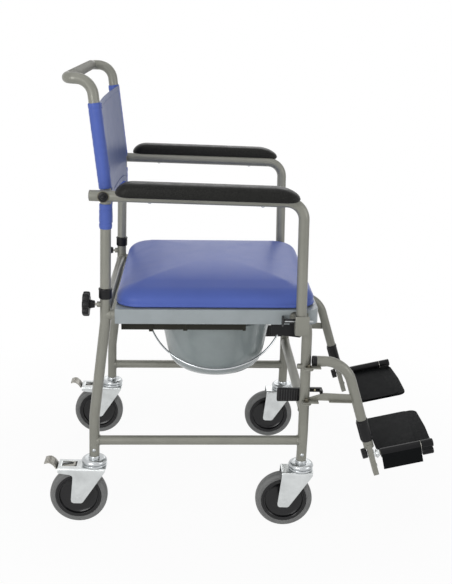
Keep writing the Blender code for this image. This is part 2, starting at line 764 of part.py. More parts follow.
def fork_leg_outline(rear_x, braked):
    axle_z = WHEEL_R
    axle_x = -WHEEL_TRAIL
    waist = axle_x - 0.011
    if braked:
        rear = [(rear_x, FORK_TOP, 0.0), (rear_x, 0.1225, 0.001), (waist, 0.1225, 0.005)]
    else:
        rear = [(rear_x, FORK_TOP, 0.0)]
    foot = [(axle_x - 0.0150, axle_z - 0.0110, 0.003), (axle_x + 0.0090, axle_z - 0.0110, 0.003)]
    front = [(FORK_NOSE_R - 0.003, FORK_TOP - 0.008, 0.002), (FORK_NOSE_R - 0.003, FORK_TOP, 0.0)]
    return rounded_outline(rear + foot + front, 2)


def caster_fork(frame, name, x, y, braked, mat):
    rear_x = BRAKE_REAR_X if braked else PLAIN_REAR_X
    half = FORK_HALF_WIDTH
    top_outline = [(rear_x, -half), (0.008, -half)]
    top_outline += arc((0, 0), FORK_NOSE_R, atan2(-half, 0.0118), atan2(half, 0.0118), 6)
    top_outline += [(0.008, half), (rear_x, half)]
    base = flat_plate(frame, top_outline, FORK_SHEET, at(x, y, FORK_TOP - FORK_SHEET / 2))
    adds = []
    for sign in (-1, 1):
        place = at(x, y + sign * (half - FORK_SHEET / 2), 0) @ XZ_PLANE
        adds.append(flat_plate(frame, fork_leg_outline(rear_x, braked), FORK_SHEET, place))
    cuts = [cylinder(frame, (x - WHEEL_TRAIL, y - 0.04, WHEEL_R), (x - WHEEL_TRAIL, y + 0.04, WHEEL_R),
                     AXLE_R + GAP, 12)]
    if braked:
        pin_start = (x + BRAKE_PIVOT_X, y - half + FORK_SHEET / 2, BRAKE_PIVOT_Z)
        pin_end = (x + BRAKE_PIVOT_X, y + half - FORK_SHEET / 2, BRAKE_PIVOT_Z)
        adds.append(cylinder(frame, pin_start, pin_end, BRAKE_PIN_R, 8))
        window = BRAKE_HALF_WIDTH + 0.0015
        window_cut = box(frame, (x - 0.069, y - window, FORK_TOP - FORK_SHEET - 0.004),
                         (x - 0.0375, y + window, FORK_TOP + 0.004))
        base = to_closed_mesh(combine(base, cuts=[window_cut]))
    combine(base, adds, cuts)
    part(f"caster_fork_{name}", base, mat, (x, y, WHEEL_R))


def caster_wheel(frame, name, x, y, hub_mat, tyre_mat, axle_mat):
    centre = (x - WHEEL_TRAIL, y, WHEEL_R)
    place = at(*centre) @ ALONG_Y
    bore = AXLE_R + AXLE_CLEARANCE
    boss = FORK_HALF_WIDTH - FORK_SHEET - 0.0005
    rim = TYRE_HALF_WIDTH - 0.0010
    hub_half = [(bore, boss), (0.0090, boss), (0.0120, 0.0060), (0.0420, 0.0050), (HUB_R - 0.0040, rim), (HUB_R, rim)]
    hub = hub_half + [(r, -z) for r, z in reversed(hub_half)]
    part(f"caster_hub_{name}", turned(frame, hub, place, 20, closed=True), hub_mat, centre)
    inner = HUB_R + GAP
    wide = TYRE_HALF_WIDTH
    tyre_half = [(inner, wide), (WHEEL_R - 0.0045, wide), (WHEEL_R, wide - 0.0055)]
    tyre = tyre_half + [(r, -z) for r, z in reversed(tyre_half)]
    part(f"caster_tyre_{name}", turned(frame, tyre, place, 20, closed=True), tyre_mat, centre)
    axle = cylinder(frame, (centre[0], y - FORK_HALF_WIDTH, WHEEL_R), (centre[0], y + FORK_HALF_WIDTH, WHEEL_R),
                    AXLE_R, 12)
    part(f"caster_axle_{name}", axle, axle_mat, centre)


def strip_outline(points, thickness):
    # The outline of a bent strip of sheet, from the middle line of its profile
    points = [Vector(p) for p in points]
    left = []
    right = []
    for i, p in enumerate(points):
        before = points[max(i - 1, 0)]
        after = points[min(i + 1, len(points) - 1)]
        along = (after - before).normalized()
        side = Vector((-along.y, along.x)) * thickness / 2
        left.append(tuple(p + side))
        right.append(tuple(p - side))
    return left + right[::-1]


def brake_pedal(frame, side, x, y, mat):
    # A bent lever on a cross pin: its shoe hangs over the tyre, and its curled tread is behind the fork
    pivot = (x + BRAKE_PIVOT_X, y, BRAKE_PIVOT_Z)
    corners = [(BRAKE_PIVOT_X, BRAKE_PIVOT_Z - 0.001, 0), (-0.054, 0.1275, 0), (-0.0790, 0.1270, 0),
               (-0.0860, 0.1370, 0), (-0.0960, 0.1440, 0), (-0.1060, 0.1405, 0)]
    middle = [(p.x, p.y) for p in fillet(corners, [0.01, 0.006, 0.012, 0.010], 2)]
    place = at(x, y, 0) @ XZ_PLANE
    arm = [p for p in middle if p[0] > -0.0860]
    tread = [p for p in middle if p[0] < -0.0795]
    base = flat_plate(frame, strip_outline(arm, PEDAL_SHEET), 2 * BRAKE_HALF_WIDTH, place)
    hub = cylinder(frame, (pivot[0], y - BRAKE_HALF_WIDTH, pivot[2]), (pivot[0], y + BRAKE_HALF_WIDTH, pivot[2]),
                   0.0034, 12)
    wide = flat_plate(frame, strip_outline(tread, PEDAL_SHEET), 2 * PEDAL_HALF_WIDTH, place)
    shoe = box(frame, (x - 0.0660, y - 0.0100, 0.1244), (x - 0.0560, y + 0.0100, 0.1272))
    hole = cylinder(frame, (pivot[0], y - 0.02, pivot[2]), (pivot[0], y + 0.02, pivot[2]), BRAKE_PIN_R + 2 * GAP, 10)
    combine(base, [hub, wide, shoe], [hole])
    part(side_name("brake_pedal", side), base, mat, pivot)


# The back

def back_corner_x():
    return POST_OFFSET - (HANDLE_Z - BACK_LEAN_Z) * tan(BACK_LEAN)


def upright_corners(y):
    return [(POST_OFFSET, y, BACK_STOP_Z), (POST_OFFSET, y, BACK_LEAN_Z), (back_corner_x(), y, HANDLE_Z)]


def back_frame(frame, mat):
    y = FRAME_WIDTH / 2
    right = upright_corners(-y) + [(HANDLE_X, -y, HANDLE_Z)]
    left = [(HANDLE_X, y, HANDLE_Z)] + upright_corners(y)[::-1]
    radii = [0.10, HANDLE_TOP_BEND, HANDLE_BEND, HANDLE_BEND, HANDLE_TOP_BEND, 0.10]
    base = tube(frame, fillet(right + left, radii, 4), TUBE_R)
    adds = []
    cuts = []
    for sign in (-1, 1):
        adds.append(cylinder(frame, (POST_OFFSET, sign * y, BACK_STOP_Z - SPIGOT_LENGTH),
                             (POST_OFFSET, sign * y, BACK_STOP_Z + 0.004), SPIGOT_R, 16))
        cuts.append(cylinder(frame, (ARM_PIVOT_X, sign * (y - 0.02), ARM_Z), (ARM_PIVOT_X, sign * (y + 0.02), ARM_Z),
                             ARM_BOLT_R + GAP, 12))
    combine(base, adds, cuts)
    part("back_frame", base, mat, (0, 0, BACK_STOP_Z))


def upright_x(z):
    if z <= BACK_LEAN_Z:
        return POST_OFFSET
    return POST_OFFSET - (z - BACK_LEAN_Z) * tan(BACK_LEAN)


def sling_sheet(frame):
    # The panel between the tunnels: it leaves their front side and bows rearward in the middle
    reach = FRAME_WIDTH / 2 - 0.002
    columns = 10
    rows = 5
    front = TUBE_R + 0.0009
    bm = bmesh.new()
    grid = []
    for i in range(rows + 1):
        z = SLING_SHEET_BOTTOM_Z + (SLING_TOP_Z - SLING_SHEET_BOTTOM_Z) * i / rows
        row = []
        for j in range(columns + 1):
            u = 2 * j / columns - 1
            x = upright_x(z) + front - SLING_BOW * (1 - u * u)
            row.append(bm.verts.new((x, u * reach, z)))
        grid.append(row)
    for low, high in zip(grid, grid[1:]):
        for j in range(columns):
            bm.faces.new((low[j], low[j + 1], high[j + 1], high[j]))
    obj = from_bmesh("sheet", bm, frame)
    mod = obj.modifiers.new("Solidify", "SOLIDIFY")
    mod.thickness = SLING_SHEET
    mod.offset = 0.0
    return obj


def sling_path(y, low, high):
    reach = 0.02
    points = [(upright_x(low) + 0.0, y, low)]
    if low < BACK_LEAN_Z - reach:
        points.append((POST_OFFSET, y, BACK_LEAN_Z))
    points.append((upright_x(high), y, high))
    radii = [0.10] if len(points) == 3 else []
    return fillet(points, radii, 4)


def back_sling(frame, mat):
    base = sling_sheet(frame)
    adds = []
    cuts = []
    for sign in (-1, 1):
        y = sign * FRAME_WIDTH / 2
        adds.append(tube(frame, sling_path(y, SLING_BOTTOM_Z, SLING_TOP_Z), SLING_TUNNEL_R))
        cuts.append(tube(frame, sling_path(y, SLING_BOTTOM_Z - 0.03, SLING_TOP_Z + 0.03), TUBE_R + BORE_CLEARANCE))
        low, high = SLING_CUTOUT
        cuts.append(box(frame, (-0.03, sign * (FRAME_WIDTH / 2 - 0.025), low), (0.06, sign * 0.27, high)))
    combine(base, adds, cuts)
    part("back_sling", base, mat, (0, 0, BACK_STOP_Z))


def lobed_outline(radius, lobes, depth, count):
    outline = []
    for k in range(count):
        a = 2 * pi * k / count
        r = radius - depth * (0.5 - 0.5 * cos(lobes * a)) ** 2
        outline.append((r * cos(a), r * sin(a)))
    return outline


def back_clamp_knob(frame, side, mat):
    y = side * FRAME_WIDTH / 2
    front = CLAMP_KNOB_REAR_X + CLAMP_KNOB_LENGTH
    middle = CLAMP_KNOB_REAR_X + CLAMP_KNOB_LENGTH / 2
    boss_rear = POST_OFFSET - TUBE_R - 0.006
    place = at(middle, y, CLAMP_Z) @ ALONG_X
    base = flat_plate(frame, lobed_outline(CLAMP_KNOB_R, 7, 0.0045, 28), CLAMP_KNOB_LENGTH, place)
    hub = cylinder(frame, (front - 0.004, y, CLAMP_Z), (boss_rear - 0.0045, y, CLAMP_Z), 0.0100, 12, 0.0075)
    tip = POST_OFFSET - SPIGOT_R - GAP
    screw = cylinder(frame, (front - 0.003, y, CLAMP_Z), (tip, y, CLAMP_Z), CLAMP_SCREW_R, 8)
    combine(base, [hub, screw])
    part(side_name("back_clamp_knob", side), base, mat, (middle, y, CLAMP_Z))


# Armrests

def arm_leg_x(z):
    return ARM_LEG_X + (ARM_LEG_X_AT_Z - z) * ARM_LEG_SLOPE


def arm_tube(frame, side, mat):
    y = side * ARM_Y
    points = [(ARM_REAR_X, y, ARM_Z), (arm_leg_x(ARM_Z), y, ARM_Z), (arm_leg_x(ARM_LEG_BOTTOM), y, ARM_LEG_BOTTOM)]
    base = tube(frame, fillet(points, [ARM_BEND_R], 5), TUBE_R)
    bolt_hole = cylinder(frame, (ARM_PIVOT_X, y - 0.02, ARM_Z), (ARM_PIVOT_X, y + 0.02, ARM_Z),
                         ARM_BOLT_R + GAP, 12)
    slot_top = LOCK_Z + LOCK_PIN_R + 0.0006
    slot = box(frame, (arm_leg_x(LOCK_Z) - 0.02, y - LOCK_PIN_R - 0.0006, ARM_LEG_BOTTOM - 0.01),
               (arm_leg_x(LOCK_Z) + 0.02, y + LOCK_PIN_R + 0.0006, slot_top))
    combine(base, cuts=[bolt_hole, slot])
    part(side_name("arm_tube", side), base, mat, (ARM_PIVOT_X, y, ARM_Z))


def arm_pad(frame, side, mat):
    half = PAD_HALF_WIDTH
    centre_y = side * PAD_Y
    length = PAD_FRONT_X - PAD_REAR_X
    inset = PAD_ROUND
    x0 = PAD_REAR_X + inset
    x1 = x0 + length - 2 * inset
    w = half - inset
    outline = rounded_outline([(x0, -w, w * 0.8), (x1, -w, w * 0.8), (x1, w, w * 0.8), (x0, w, w * 0.8)], 3)
    middle_z = PAD_BOTTOM + PAD_THICKNESS / 2
    base = flat_plate(frame, outline, PAD_THICKNESS, at(0, centre_y, middle_z), PAD_ROUND, 2)
    groove = tube(frame, [(PAD_REAR_X - 0.03, side * ARM_Y, ARM_Z), (PAD_FRONT_X - ARM_BEND_R, side * ARM_Y, ARM_Z)],
                  TUBE_R + GAP)
    bend = tube(frame, fillet([(PAD_FRONT_X - 0.08, side * ARM_Y, ARM_Z), (arm_leg_x(ARM_Z), side * ARM_Y, ARM_Z),
                               (arm_leg_x(0.66), side * ARM_Y, 0.66)], [ARM_BEND_R], 5), TUBE_R + 0.0006)
    combine(base, cuts=[groove, bend])
    part(side_name("arm_pad", side), base, mat, (ARM_PIVOT_X, side * ARM_Y, ARM_Z))


def arm_pivot_bolt(frame, side, mat):
    # Domed head and washer outside the arm tube, spacer between the tubes, cap nut inside the upright
    shank = ARM_BOLT_R
    head_y = ARM_Y + TUBE_R + GAP
    spacer_out = ARM_Y - TUBE_R - GAP
    spacer_in = FRAME_WIDTH / 2 + TUBE_R + GAP
    nut_y = FRAME_WIDTH / 2 - TUBE_R - GAP
    profile = [(0.0, head_y + 0.0085), (0.0050, head_y + 0.0068), (0.0068, head_y + 0.0018),
               (0.0115, head_y + 0.0016), (0.0115, head_y), (shank, head_y), (shank, spacer_out),
               (0.0075, spacer_out), (0.0075, spacer_in), (shank, spacer_in), (shank, nut_y),
               (0.0080, nut_y), (0.0065, nut_y - 0.0060), (0.0, nut_y - 0.0075)]
    turn = Matrix.Rotation(-side * pi / 2, 4, "X")
    base = turned(frame, profile, at(ARM_PIVOT_X, 0, ARM_Z) @ turn, 14)
    part(side_name("arm_pivot_bolt", side), base, mat, (ARM_PIVOT_X, side * ARM_Y, ARM_Z))


def arm_lock_pin(frame, side, mat):
    y = side * ARM_Y
    rear = LOCK_BARREL_REAR_X - GAP - LOCK_DISC_THICKNESS
    length = LOCK_PIN_FRONT_X - rear
    disc = LOCK_DISC_R
    rod = LOCK_PIN_R
    profile = [(0.0, length), (rod, length), (rod, LOCK_DISC_THICKNESS), (disc, LOCK_DISC_THICKNESS),
               (disc, 0.0008), (disc - 0.0010, 0.0), (0.0, 0.0)]
    base = turned(frame, profile, at(rear, y, LOCK_Z) @ ALONG_X, 16)
    part(side_name("arm_lock_pin", side), base, mat, (rear, y, LOCK_Z))


# Legrests, footrests and their latches

def legrest_corner_x():
    return SLEEVE_TOP_X - (LEGREST_TOP_Z - SLEEVE_TOP_Z) * tan(STEM_TILT)


def stem_point(s, y):
    return (SLEEVE_TOP_X + s * sin(STEM_TILT), y, SLEEVE_TOP_Z - s * cos(STEM_TILT))


def legrest_tube(frame, side, mat):
    y = side * LEGREST_Y
    hinge_y = side * LEGREST_HINGE_Y
    plate_y = side * LEGREST_PLATE_Y
    points = [(LEGREST_CAP_X, y, LEGREST_TOP_Z), (legrest_corner_x(), y, LEGREST_TOP_Z), stem_point(-GAP, y)]
    base = tube(frame, fillet(points, [LEGREST_BEND], 6), LEGREST_R)
    sheet = LUG_SHEET
    adds = [cylinder(frame, stem_point(-0.006, y), stem_point(LEGREST_INSIDE, y), LEGREST_SPIGOT_R, 12)]
    cuts = []
    for lug_z in (UPPER_LUG_Z, LOWER_LUG_Z):
        z = lug_z + LUG_SHEET + GAP
        adds.append(cylinder(frame, (STEM_SPACING, hinge_y, z), (STEM_SPACING, hinge_y, z + sheet), LUG_R - 0.0004, 16))
        adds.append(box(frame, (STEM_SPACING + 0.0060, plate_y - side * 0.002, z + 0.0002),
                        (STEM_SPACING + 0.026, hinge_y + side * 0.006, z + sheet - 0.0002)))
        cuts.append(cylinder(frame, (STEM_SPACING, hinge_y, z - 0.01), (STEM_SPACING, hinge_y, z + 0.0085),
                             LUG_PIN_R + 2 * GAP, 12))
    place = at(0, plate_y, 0) @ XZ_PLANE
    ring_top = UPPER_LUG_Z + LUG_SHEET + GAP + sheet / 2
    gusset = [(STEM_SPACING + 0.0095, ring_top - 0.0008), (STEM_SPACING + 0.030, ring_top - 0.0008),
              (STEM_SPACING + 0.056, ring_top + 0.0012), (STEM_SPACING + 0.056, LEGREST_TOP_Z),
              (STEM_SPACING + 0.0095, LEGREST_TOP_Z)]
    adds.append(flat_plate(frame, gusset, sheet, place))
    ring_low = LOWER_LUG_Z + LUG_SHEET + GAP + sheet / 2
    tube_x = SLEEVE_TOP_X - (ring_low + 0.010 - SLEEVE_TOP_Z) * tan(STEM_TILT)
    web = [(STEM_SPACING + 0.0070, ring_low), (tube_x, ring_low), (tube_x, ring_low + 0.0150),
           (STEM_SPACING + 0.038, ring_low + 0.0170), (STEM_SPACING + 0.0070, ring_low + 0.0065)]
    adds.append(flat_plate(frame, web, sheet, place))
    adds.append(box(frame, (STEM_SPACING + 0.049, plate_y - side * 0.001, ring_low - 0.0010),
                    (tube_x - 0.008, plate_y + side * 0.010, ring_low + 0.0012)))
    combine(base, adds, cuts)
    part(side_name("legrest_tube", side), base, mat, (STEM_SPACING, hinge_y, LEGREST_TOP_Z))


def stem_frame(frame, side):
    # Its -Z runs down along the stem from the top of the sleeve, and its +X points forward
    return empty(side_name("stem_frame", side), (SLEEVE_TOP_X, side * LEGREST_Y, SLEEVE_TOP_Z), frame, -STEM_TILT)


def footrest_sleeve(stem, side, mat):
    wide = FOOT_TUBE_R + GAP
    narrow = LEGREST_SPIGOT_R + BORE_CLEARANCE
    outer = SLEEVE_R
    profile = [(narrow, 0.0), (outer - 0.0012, 0.0), (outer, -0.0012), (outer, 0.0012 - SLEEVE_LENGTH),
               (outer - 0.0008, -SLEEVE_LENGTH), (wide, -SLEEVE_LENGTH), (wide, -SLEEVE_LIP), (narrow, -SLEEVE_LIP)]
    part(side_name("footrest_sleeve", side), turned(stem, profile, Matrix.Identity(4), 16, closed=True), mat)


def barrel_point(side, along=0.0):
    return Vector((BARREL_X + along * cos(FOOT_TILT), side * BARREL_Y, BARREL_Z + along * sin(FOOT_TILT)))


def footrest_stem(stem, side, mat):
    start = -SLEEVE_LIP - GAP
    base = cylinder(stem, (0, 0, start), (0, 0, start - FOOT_TUBE_LENGTH), FOOT_TUBE_R, 16)
    half = BLADE_HALF_WIDTH
    blade_outline = rounded_outline([(-half, -FOOT_TUBE_LENGTH + 0.006, 0.0), (-half, -BLADE_END, 0.007),
                                     (half, -BLADE_END, 0.007), (half, -FOOT_TUBE_LENGTH + 0.006, 0.0)], 2)
    blade_place = Matrix.Rotation(pi / 2, 4, "Z") @ XZ_PLANE
    blade = flat_plate(stem, blade_outline, BLADE_THICKNESS, blade_place)
    to_stem = (at(SLEEVE_TOP_X, side * LEGREST_Y, SLEEVE_TOP_Z) @ Matrix.Rotation(-STEM_TILT, 4, "Y")).inverted()
    pin_base = to_stem @ barrel_point(side, -0.0100)
    pin_tip = to_stem @ barrel_point(side, HINGE_PIN_LENGTH)
    shoulder = to_stem @ barrel_point(side, -0.0020)
    root = Vector((0.0, pin_base.y, pin_base.z - 0.001))
    pin = cylinder(stem, pin_base, pin_tip, HINGE_PIN_R, 10)
    nut = cylinder(stem, pin_base, shoulder, 0.0075, 12)
    stub = cylinder(stem, root, pin_base + (pin_tip - pin_base).normalized() * 0.001, 0.0062, 12)
    bore = cylinder(stem, (0, 0, 0.01), (0, 0, start - FOOT_BORE_DEPTH), LEGREST_SPIGOT_R + BORE_CLEARANCE, 16)
    knob_hole = cylinder(stem, (-0.02, 0, -FOOT_KNOB_S), (0.02, 0, -FOOT_KNOB_S), 0.0028 + GAP, 8)
    combine(base, [blade, pin, nut, stub], [bore, knob_hole])
    part(side_name("footrest_stem", side), base, mat)


def footrest_knob(stem, side, mat):
    front = -BLADE_THICKNESS / 2 - 0.0015
    rear = front - FOOT_KNOB_LENGTH
    place = at((front + rear) / 2, 0, -FOOT_KNOB_S) @ ALONG_X
    base = flat_plate(stem, lobed_outline(FOOT_KNOB_R, 5, 0.0025, 20), FOOT_KNOB_LENGTH, place)
    screw = cylinder(stem, (rear + 0.003, 0, -FOOT_KNOB_S), (BLADE_THICKNESS / 2, 0, -FOOT_KNOB_S), 0.0028, 8)
    combine(base, [screw])
    part(side_name("footrest_knob", side), base, mat, (rear, 0, -FOOT_KNOB_S))


def footplate(frame, side, mat):
    hinge = empty(side_name("footplate_hinge", side), tuple(barrel_point(side)), frame, -FOOT_TILT)
    base = cylinder(hinge, (0, 0, 0), (BARREL_LENGTH, 0, 0), BARREL_R, 16)
    reach = (BARREL_Y - FOOTPLATE_INNER_Y) * -side
    front = FOOTPLATE_FRONT
    corners = [(0.0005, 0.0, 0.0), (0.0005, reach, 0.003), (front - 0.001, reach, 0.017),
               (front, reach * 0.5, 0.2), (BARREL_LENGTH - 0.0005, 0.0, 0.0)]
    top = -FOOTPLATE_DROP
    plate = flat_plate(hinge, rounded_outline(corners, 3), FOOTPLATE_THICKNESS, at(0, 0, top - FOOTPLATE_THICKNESS / 2),
                       0.0012, 1)
    skirt = box(hinge, (0.001, side * (BARREL_R - 0.003), -FOOTPLATE_SKIRT),
                (FOOTPLATE_SKIRT_LENGTH, side * (BARREL_R - 0.0001), 0.0), 0.0008, 1)
    bore = cylinder(hinge, (-0.01, 0, 0), (HINGE_PIN_LENGTH + 0.003, 0, 0), HINGE_PIN_R + 2 * GAP, 10)
    combine(base, [plate, skirt], [bore])
    part(side_name("footplate", side), base, mat)


def legrest_latch(frame, side, mat):
    y = side * LATCH_Y
    low, high = LATCH_NECK
    outline = rounded_outline([(STEM_SPACING - 0.0595, 0.2855, 0.003), (STEM_SPACING - 0.012, 0.2870, 0.003),
                               (STEM_SPACING - 0.0075, low, 0.001), (STEM_SPACING + 0.010, low, 0.002),
                               (STEM_SPACING + 0.012, high - 0.0075, 0.001), (STEM_SPACING + 0.0375, high - 0.0070, 0.002),
                               (STEM_SPACING + 0.0375, high + 0.0020, 0.002), (STEM_SPACING + 0.012, high + 0.0015, 0.001),
                               (STEM_SPACING + 0.0075, high, 0.0005), (STEM_SPACING - 0.0075, high, 0.001),
                               (STEM_SPACING - 0.0595, high - 0.0010, 0.003)], 2)
    place = at(0, y, 0) @ XZ_PLANE
    base = flat_plate(frame, outline, 2 * LATCH_HALF_THICKNESS, place)
    catch = box(frame, (STEM_SPACING + 0.0295, y, high - 0.0070), (STEM_SPACING + 0.0375, y + side * 0.018, high + 0.0020))
    hole = cylinder(frame, (STEM_SPACING, y, low - 0.01), (STEM_SPACING, y, high + 0.01), LATCH_PIN_R + 0.0005, 10)
    combine(base, [catch], [hole])
    part(side_name("legrest_latch", side), base, mat, (STEM_SPACING, y, low))


# The whole chair

def build():
    clear_scene()
    paint = material("satin_grey_paint", (0.36, 0.35, 0.33), 0.38, 0.75)
    zinc = material("zinc_plate", (0.62, 0.65, 0.66), 0.32, 0.95)
    chrome = material("chrome", (0.75, 0.76, 0.78), 0.12, 1.0)
    dull_zinc = material("brown_zinc", (0.20, 0.19, 0.175), 0.45, 0.5)
    vinyl = material("blue_vinyl", (0.115, 0.165, 0.50), 0.38)
    black = material("black_plastic", (0.020, 0.020, 0.021), 0.45)
    foam = material("black_foam", (0.016, 0.016, 0.017), 0.6)
    grey_plastic = material("grey_plastic", (0.42, 0.46, 0.47), 0.35)
    pan_grey = material("pan_grey", (0.30, 0.34, 0.36), 0.22)
    rubber = material("grey_rubber", (0.22, 0.22, 0.22), 0.6)

    frame = empty("datum", (-DATUM_X, 0.0, 0.0))
    seat = empty("seat_datum", (0.0, 0.0, 0.0), frame)
    seat.matrix_local = at(0, 0, SEAT_RAIL_Z) @ Matrix.Rotation(-SEAT_TILT, 4, "Y") @ at(0, 0, -SEAT_RAIL_Z)

    cross_tubes(frame, paint)
    seat_plate(seat, grey_plastic)
    pan(seat, pan_grey)
    pan_bail(seat, chrome)
    seat_cushion(seat, vinyl)
    back_frame(frame, paint)
    back_sling(frame, vinyl)
    for end, x in (("rear", 0.0), ("front", STEM_SPACING)):
        for side in (RIGHT, LEFT):
            name = side_name(end, side)
            y = side * FRAME_WIDTH / 2
            caster_head(frame, name, x, y, chrome)
            caster_fork(frame, name, x, y, end == "rear", zinc)
            caster_wheel(frame, name, x, y, black, rubber, zinc)
    for side in (RIGHT, LEFT):
        side_frame(frame, side, paint)
        post_collar(frame, side, black)
        pan_rail(seat, side, black)
        brake_pedal(frame, side, 0.0, side * FRAME_WIDTH / 2, dull_zinc)
        back_clamp_knob(frame, side, black)
        arm_tube(frame, side, paint)
        arm_pad(frame, side, foam)
        arm_pivot_bolt(frame, side, dull_zinc)
        arm_lock_pin(frame, side, black)
        legrest_tube(frame, side, paint)
        legrest_latch(frame, side, black)
        stem = stem_frame(frame, side)
        footrest_sleeve(stem, side, black)
        footrest_stem(stem, side, paint)
        footrest_knob(stem, side, black)
        footplate(frame, side, black)


build()
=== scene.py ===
# The looks of the wheeled commode chair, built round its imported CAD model.

from math import cos, exp, pi, radians, sin, tan

import bmesh
import bpy
from mathutils import Matrix, Vector, noise


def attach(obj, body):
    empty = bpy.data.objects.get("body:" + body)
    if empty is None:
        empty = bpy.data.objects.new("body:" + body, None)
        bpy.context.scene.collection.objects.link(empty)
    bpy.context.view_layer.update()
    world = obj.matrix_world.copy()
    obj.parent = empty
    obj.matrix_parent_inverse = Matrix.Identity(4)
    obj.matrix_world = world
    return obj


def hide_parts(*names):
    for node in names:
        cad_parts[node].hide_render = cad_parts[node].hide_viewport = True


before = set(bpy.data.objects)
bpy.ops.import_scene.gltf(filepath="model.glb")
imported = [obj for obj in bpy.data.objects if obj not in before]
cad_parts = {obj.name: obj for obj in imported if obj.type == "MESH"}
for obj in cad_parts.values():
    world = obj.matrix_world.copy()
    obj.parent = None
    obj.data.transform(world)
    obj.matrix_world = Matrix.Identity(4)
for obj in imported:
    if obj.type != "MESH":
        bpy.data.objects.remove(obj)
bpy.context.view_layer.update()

# Sizes shared with the CAD, in metres, in chair coordinates (x = 0 at the rear caster stems)
DATUM_X = 0.3164
FRAME_WIDTH = 0.46
HALF = FRAME_WIDTH / 2
STEM_SPACING = 0.4495
GAP = 0.0003
RIGHT = -1
LEFT = 1
TUBE_R = 0.011
POST_BOTTOM = 0.156
POST_KINK_LOW = 0.247
POST_KINK_HIGH = 0.4595
POST_OFFSET = 0.0222
POST_TOP = 0.531
POST_RIVET_Z = 0.1714
LOWER_RAIL_R = TUBE_R * 0.93
LOWER_RAIL_REAR_Z = 0.191
LOWER_RAIL_FRONT_Z = 0.202
LOWER_CROSS_Z = 0.27
SEAT_RAIL_BEND = 0.04
FRONT_KINK_Z = 0.222
SEAT_TILT = radians(1.4)
SEAT_RAIL_Z = 0.4765
PLATE_REAR_X = 0.0425
PLATE_FRONT_X = 0.465
PLATE_HALF_WIDTH = HALF + TUBE_R + 0.0025
PLATE_UNDER = SEAT_RAIL_Z + TUBE_R + GAP
PLATE_TOP = PLATE_UNDER + 0.003
PLATE_SKIRT = 0.0315
PLATE_CORNER_R = 0.024
NOTCH_X = 0.414
NOTCH_R = 0.01
CUSHION_REAR_X = 0.042
CUSHION_FRONT_X = 0.46
CUSHION_HALF = 0.2385
PAN_X = 0.2565
PAN_FLANGE_R = 0.168
PAN_RIM_R = 0.134
RAIL_HEIGHT = 0.066
LEDGE_TOP = PLATE_UNDER - GAP - RAIL_HEIGHT + 0.003
BAIL_R = 0.157
BAIL_Z = LEDGE_TOP + GAP - 0.0062
BAIL_REST = radians(46)
WHEEL_R = 0.0625
WHEEL_TRAIL = 0.0335
FORK_TOP = 0.134
FORK_HALF = 0.0245
FORK_SHEET = 0.0025
BRAKE_PIVOT = (-0.043, 0.1305)
WINDOW_REAR_X = -0.069
WINDOW_FRONT_X = -0.0375
WINDOW_HALF = 0.0127
BACK_STOP_Z = 0.5336
SPIGOT_LENGTH = 0.072
BACK_LEAN = radians(7.6)
BACK_LEAN_Z = 0.735
HANDLE_Z = 0.953
HANDLE_X = -0.054
CLAMP_Z = 0.498
CLAMP_KNOB_REAR_X = -0.024
SLING_TUNNEL_R = 0.0131
SLING_SHEET = 0.0022
SLING_BOTTOM_Z = 0.6585
SLING_PANEL_BOTTOM_Z = 0.69
SLING_CUT_LOW = 0.7095
SLING_CUT_HIGH = 0.7405
SLING_TOP_Z = 0.9075
SLING_SAG = 0.0125
ARM_Y = 0.2575
ARM_Z = 0.7302
ARM_REAR_X = -0.0077
ARM_PIVOT_X = 0.0205
ARM_BEND = 0.036
ARM_LEG_BOTTOM = 0.453
ARM_LEG_X = 0.4263
ARM_LEG_X_AT_Z = 0.491
ARM_LEG_SLOPE = 0.035
PAD_REAR_X = 0.0442
PAD_FRONT_X = 0.407
PAD_Y = 0.279
PAD_HALF = 0.0262
PAD_BOTTOM = 0.7355
PAD_THICKNESS = 0.0285
SOCKET_MIDDLE_Z = 0.4752
SOCKET_HEIGHT = 0.0405
SOCKET_FRONT = 0.0157
SOCKET_WALL = 0.0014
SOCKET_HALF = TUBE_R + 0.0006 + SOCKET_WALL
LOCK_BARREL_X = 0.391
LOCK_Z = 0.482
LEGREST_HINGE_Y = 0.2525
LEGREST_Y = 0.2375
LEGREST_PLATE_Y = 0.2415
LEGREST_R = 0.011
LEGREST_TOP_Z = 0.3885
LEGREST_CAP_X = 0.4583
UPPER_LUG_Z = 0.374
LOWER_LUG_Z = 0.296
LUG_R = 0.0105
LUG_SHEET = 0.003
STEM_TILT = radians(18.3)
SLEEVE_TOP_X = 0.5733
SLEEVE_TOP_Z = 0.2573
SLEEVE_LENGTH = 0.05
BLADE_HALF = 0.00575
FOOT_TILT = radians(14)
BARREL = (0.6195, 0.2435, 0.183)
BARREL_R = 0.009
BARREL_LENGTH = 0.1155
SKIRT_END = 0.0875
FOOTPLATE_FRONT = 0.1195
FOOTPLATE_INNER_Y = 0.052
LATCH_Y = 0.212
LATCH_LOW = 0.3
LATCH_HIGH = 0.316
EAR_SHEET = 0.0024

ALONG_Y = Matrix.Rotation(-pi / 2, 4, "X")
ALONG_X = Matrix.Rotation(pi / 2, 4, "Y")
XZ_PLANE = Matrix.Rotation(pi / 2, 4, "X")
YZ_PLANE = Matrix.Rotation(pi / 2, 4, "Z") @ XZ_PLANE
TO_REAR = Matrix.Rotation(-pi / 2, 4, "Y")


def at(x, y, z):
    return Matrix.Translation((x, y, z))


CHAIR = at(-DATUM_X, 0, 0)
FRONT_POST = CHAIR @ at(STEM_SPACING, 0, 0)
SEAT = CHAIR @ at(0, 0, SEAT_RAIL_Z) @ Matrix.Rotation(-SEAT_TILT, 4, "Y") @ at(0, 0, -SEAT_RAIL_Z)


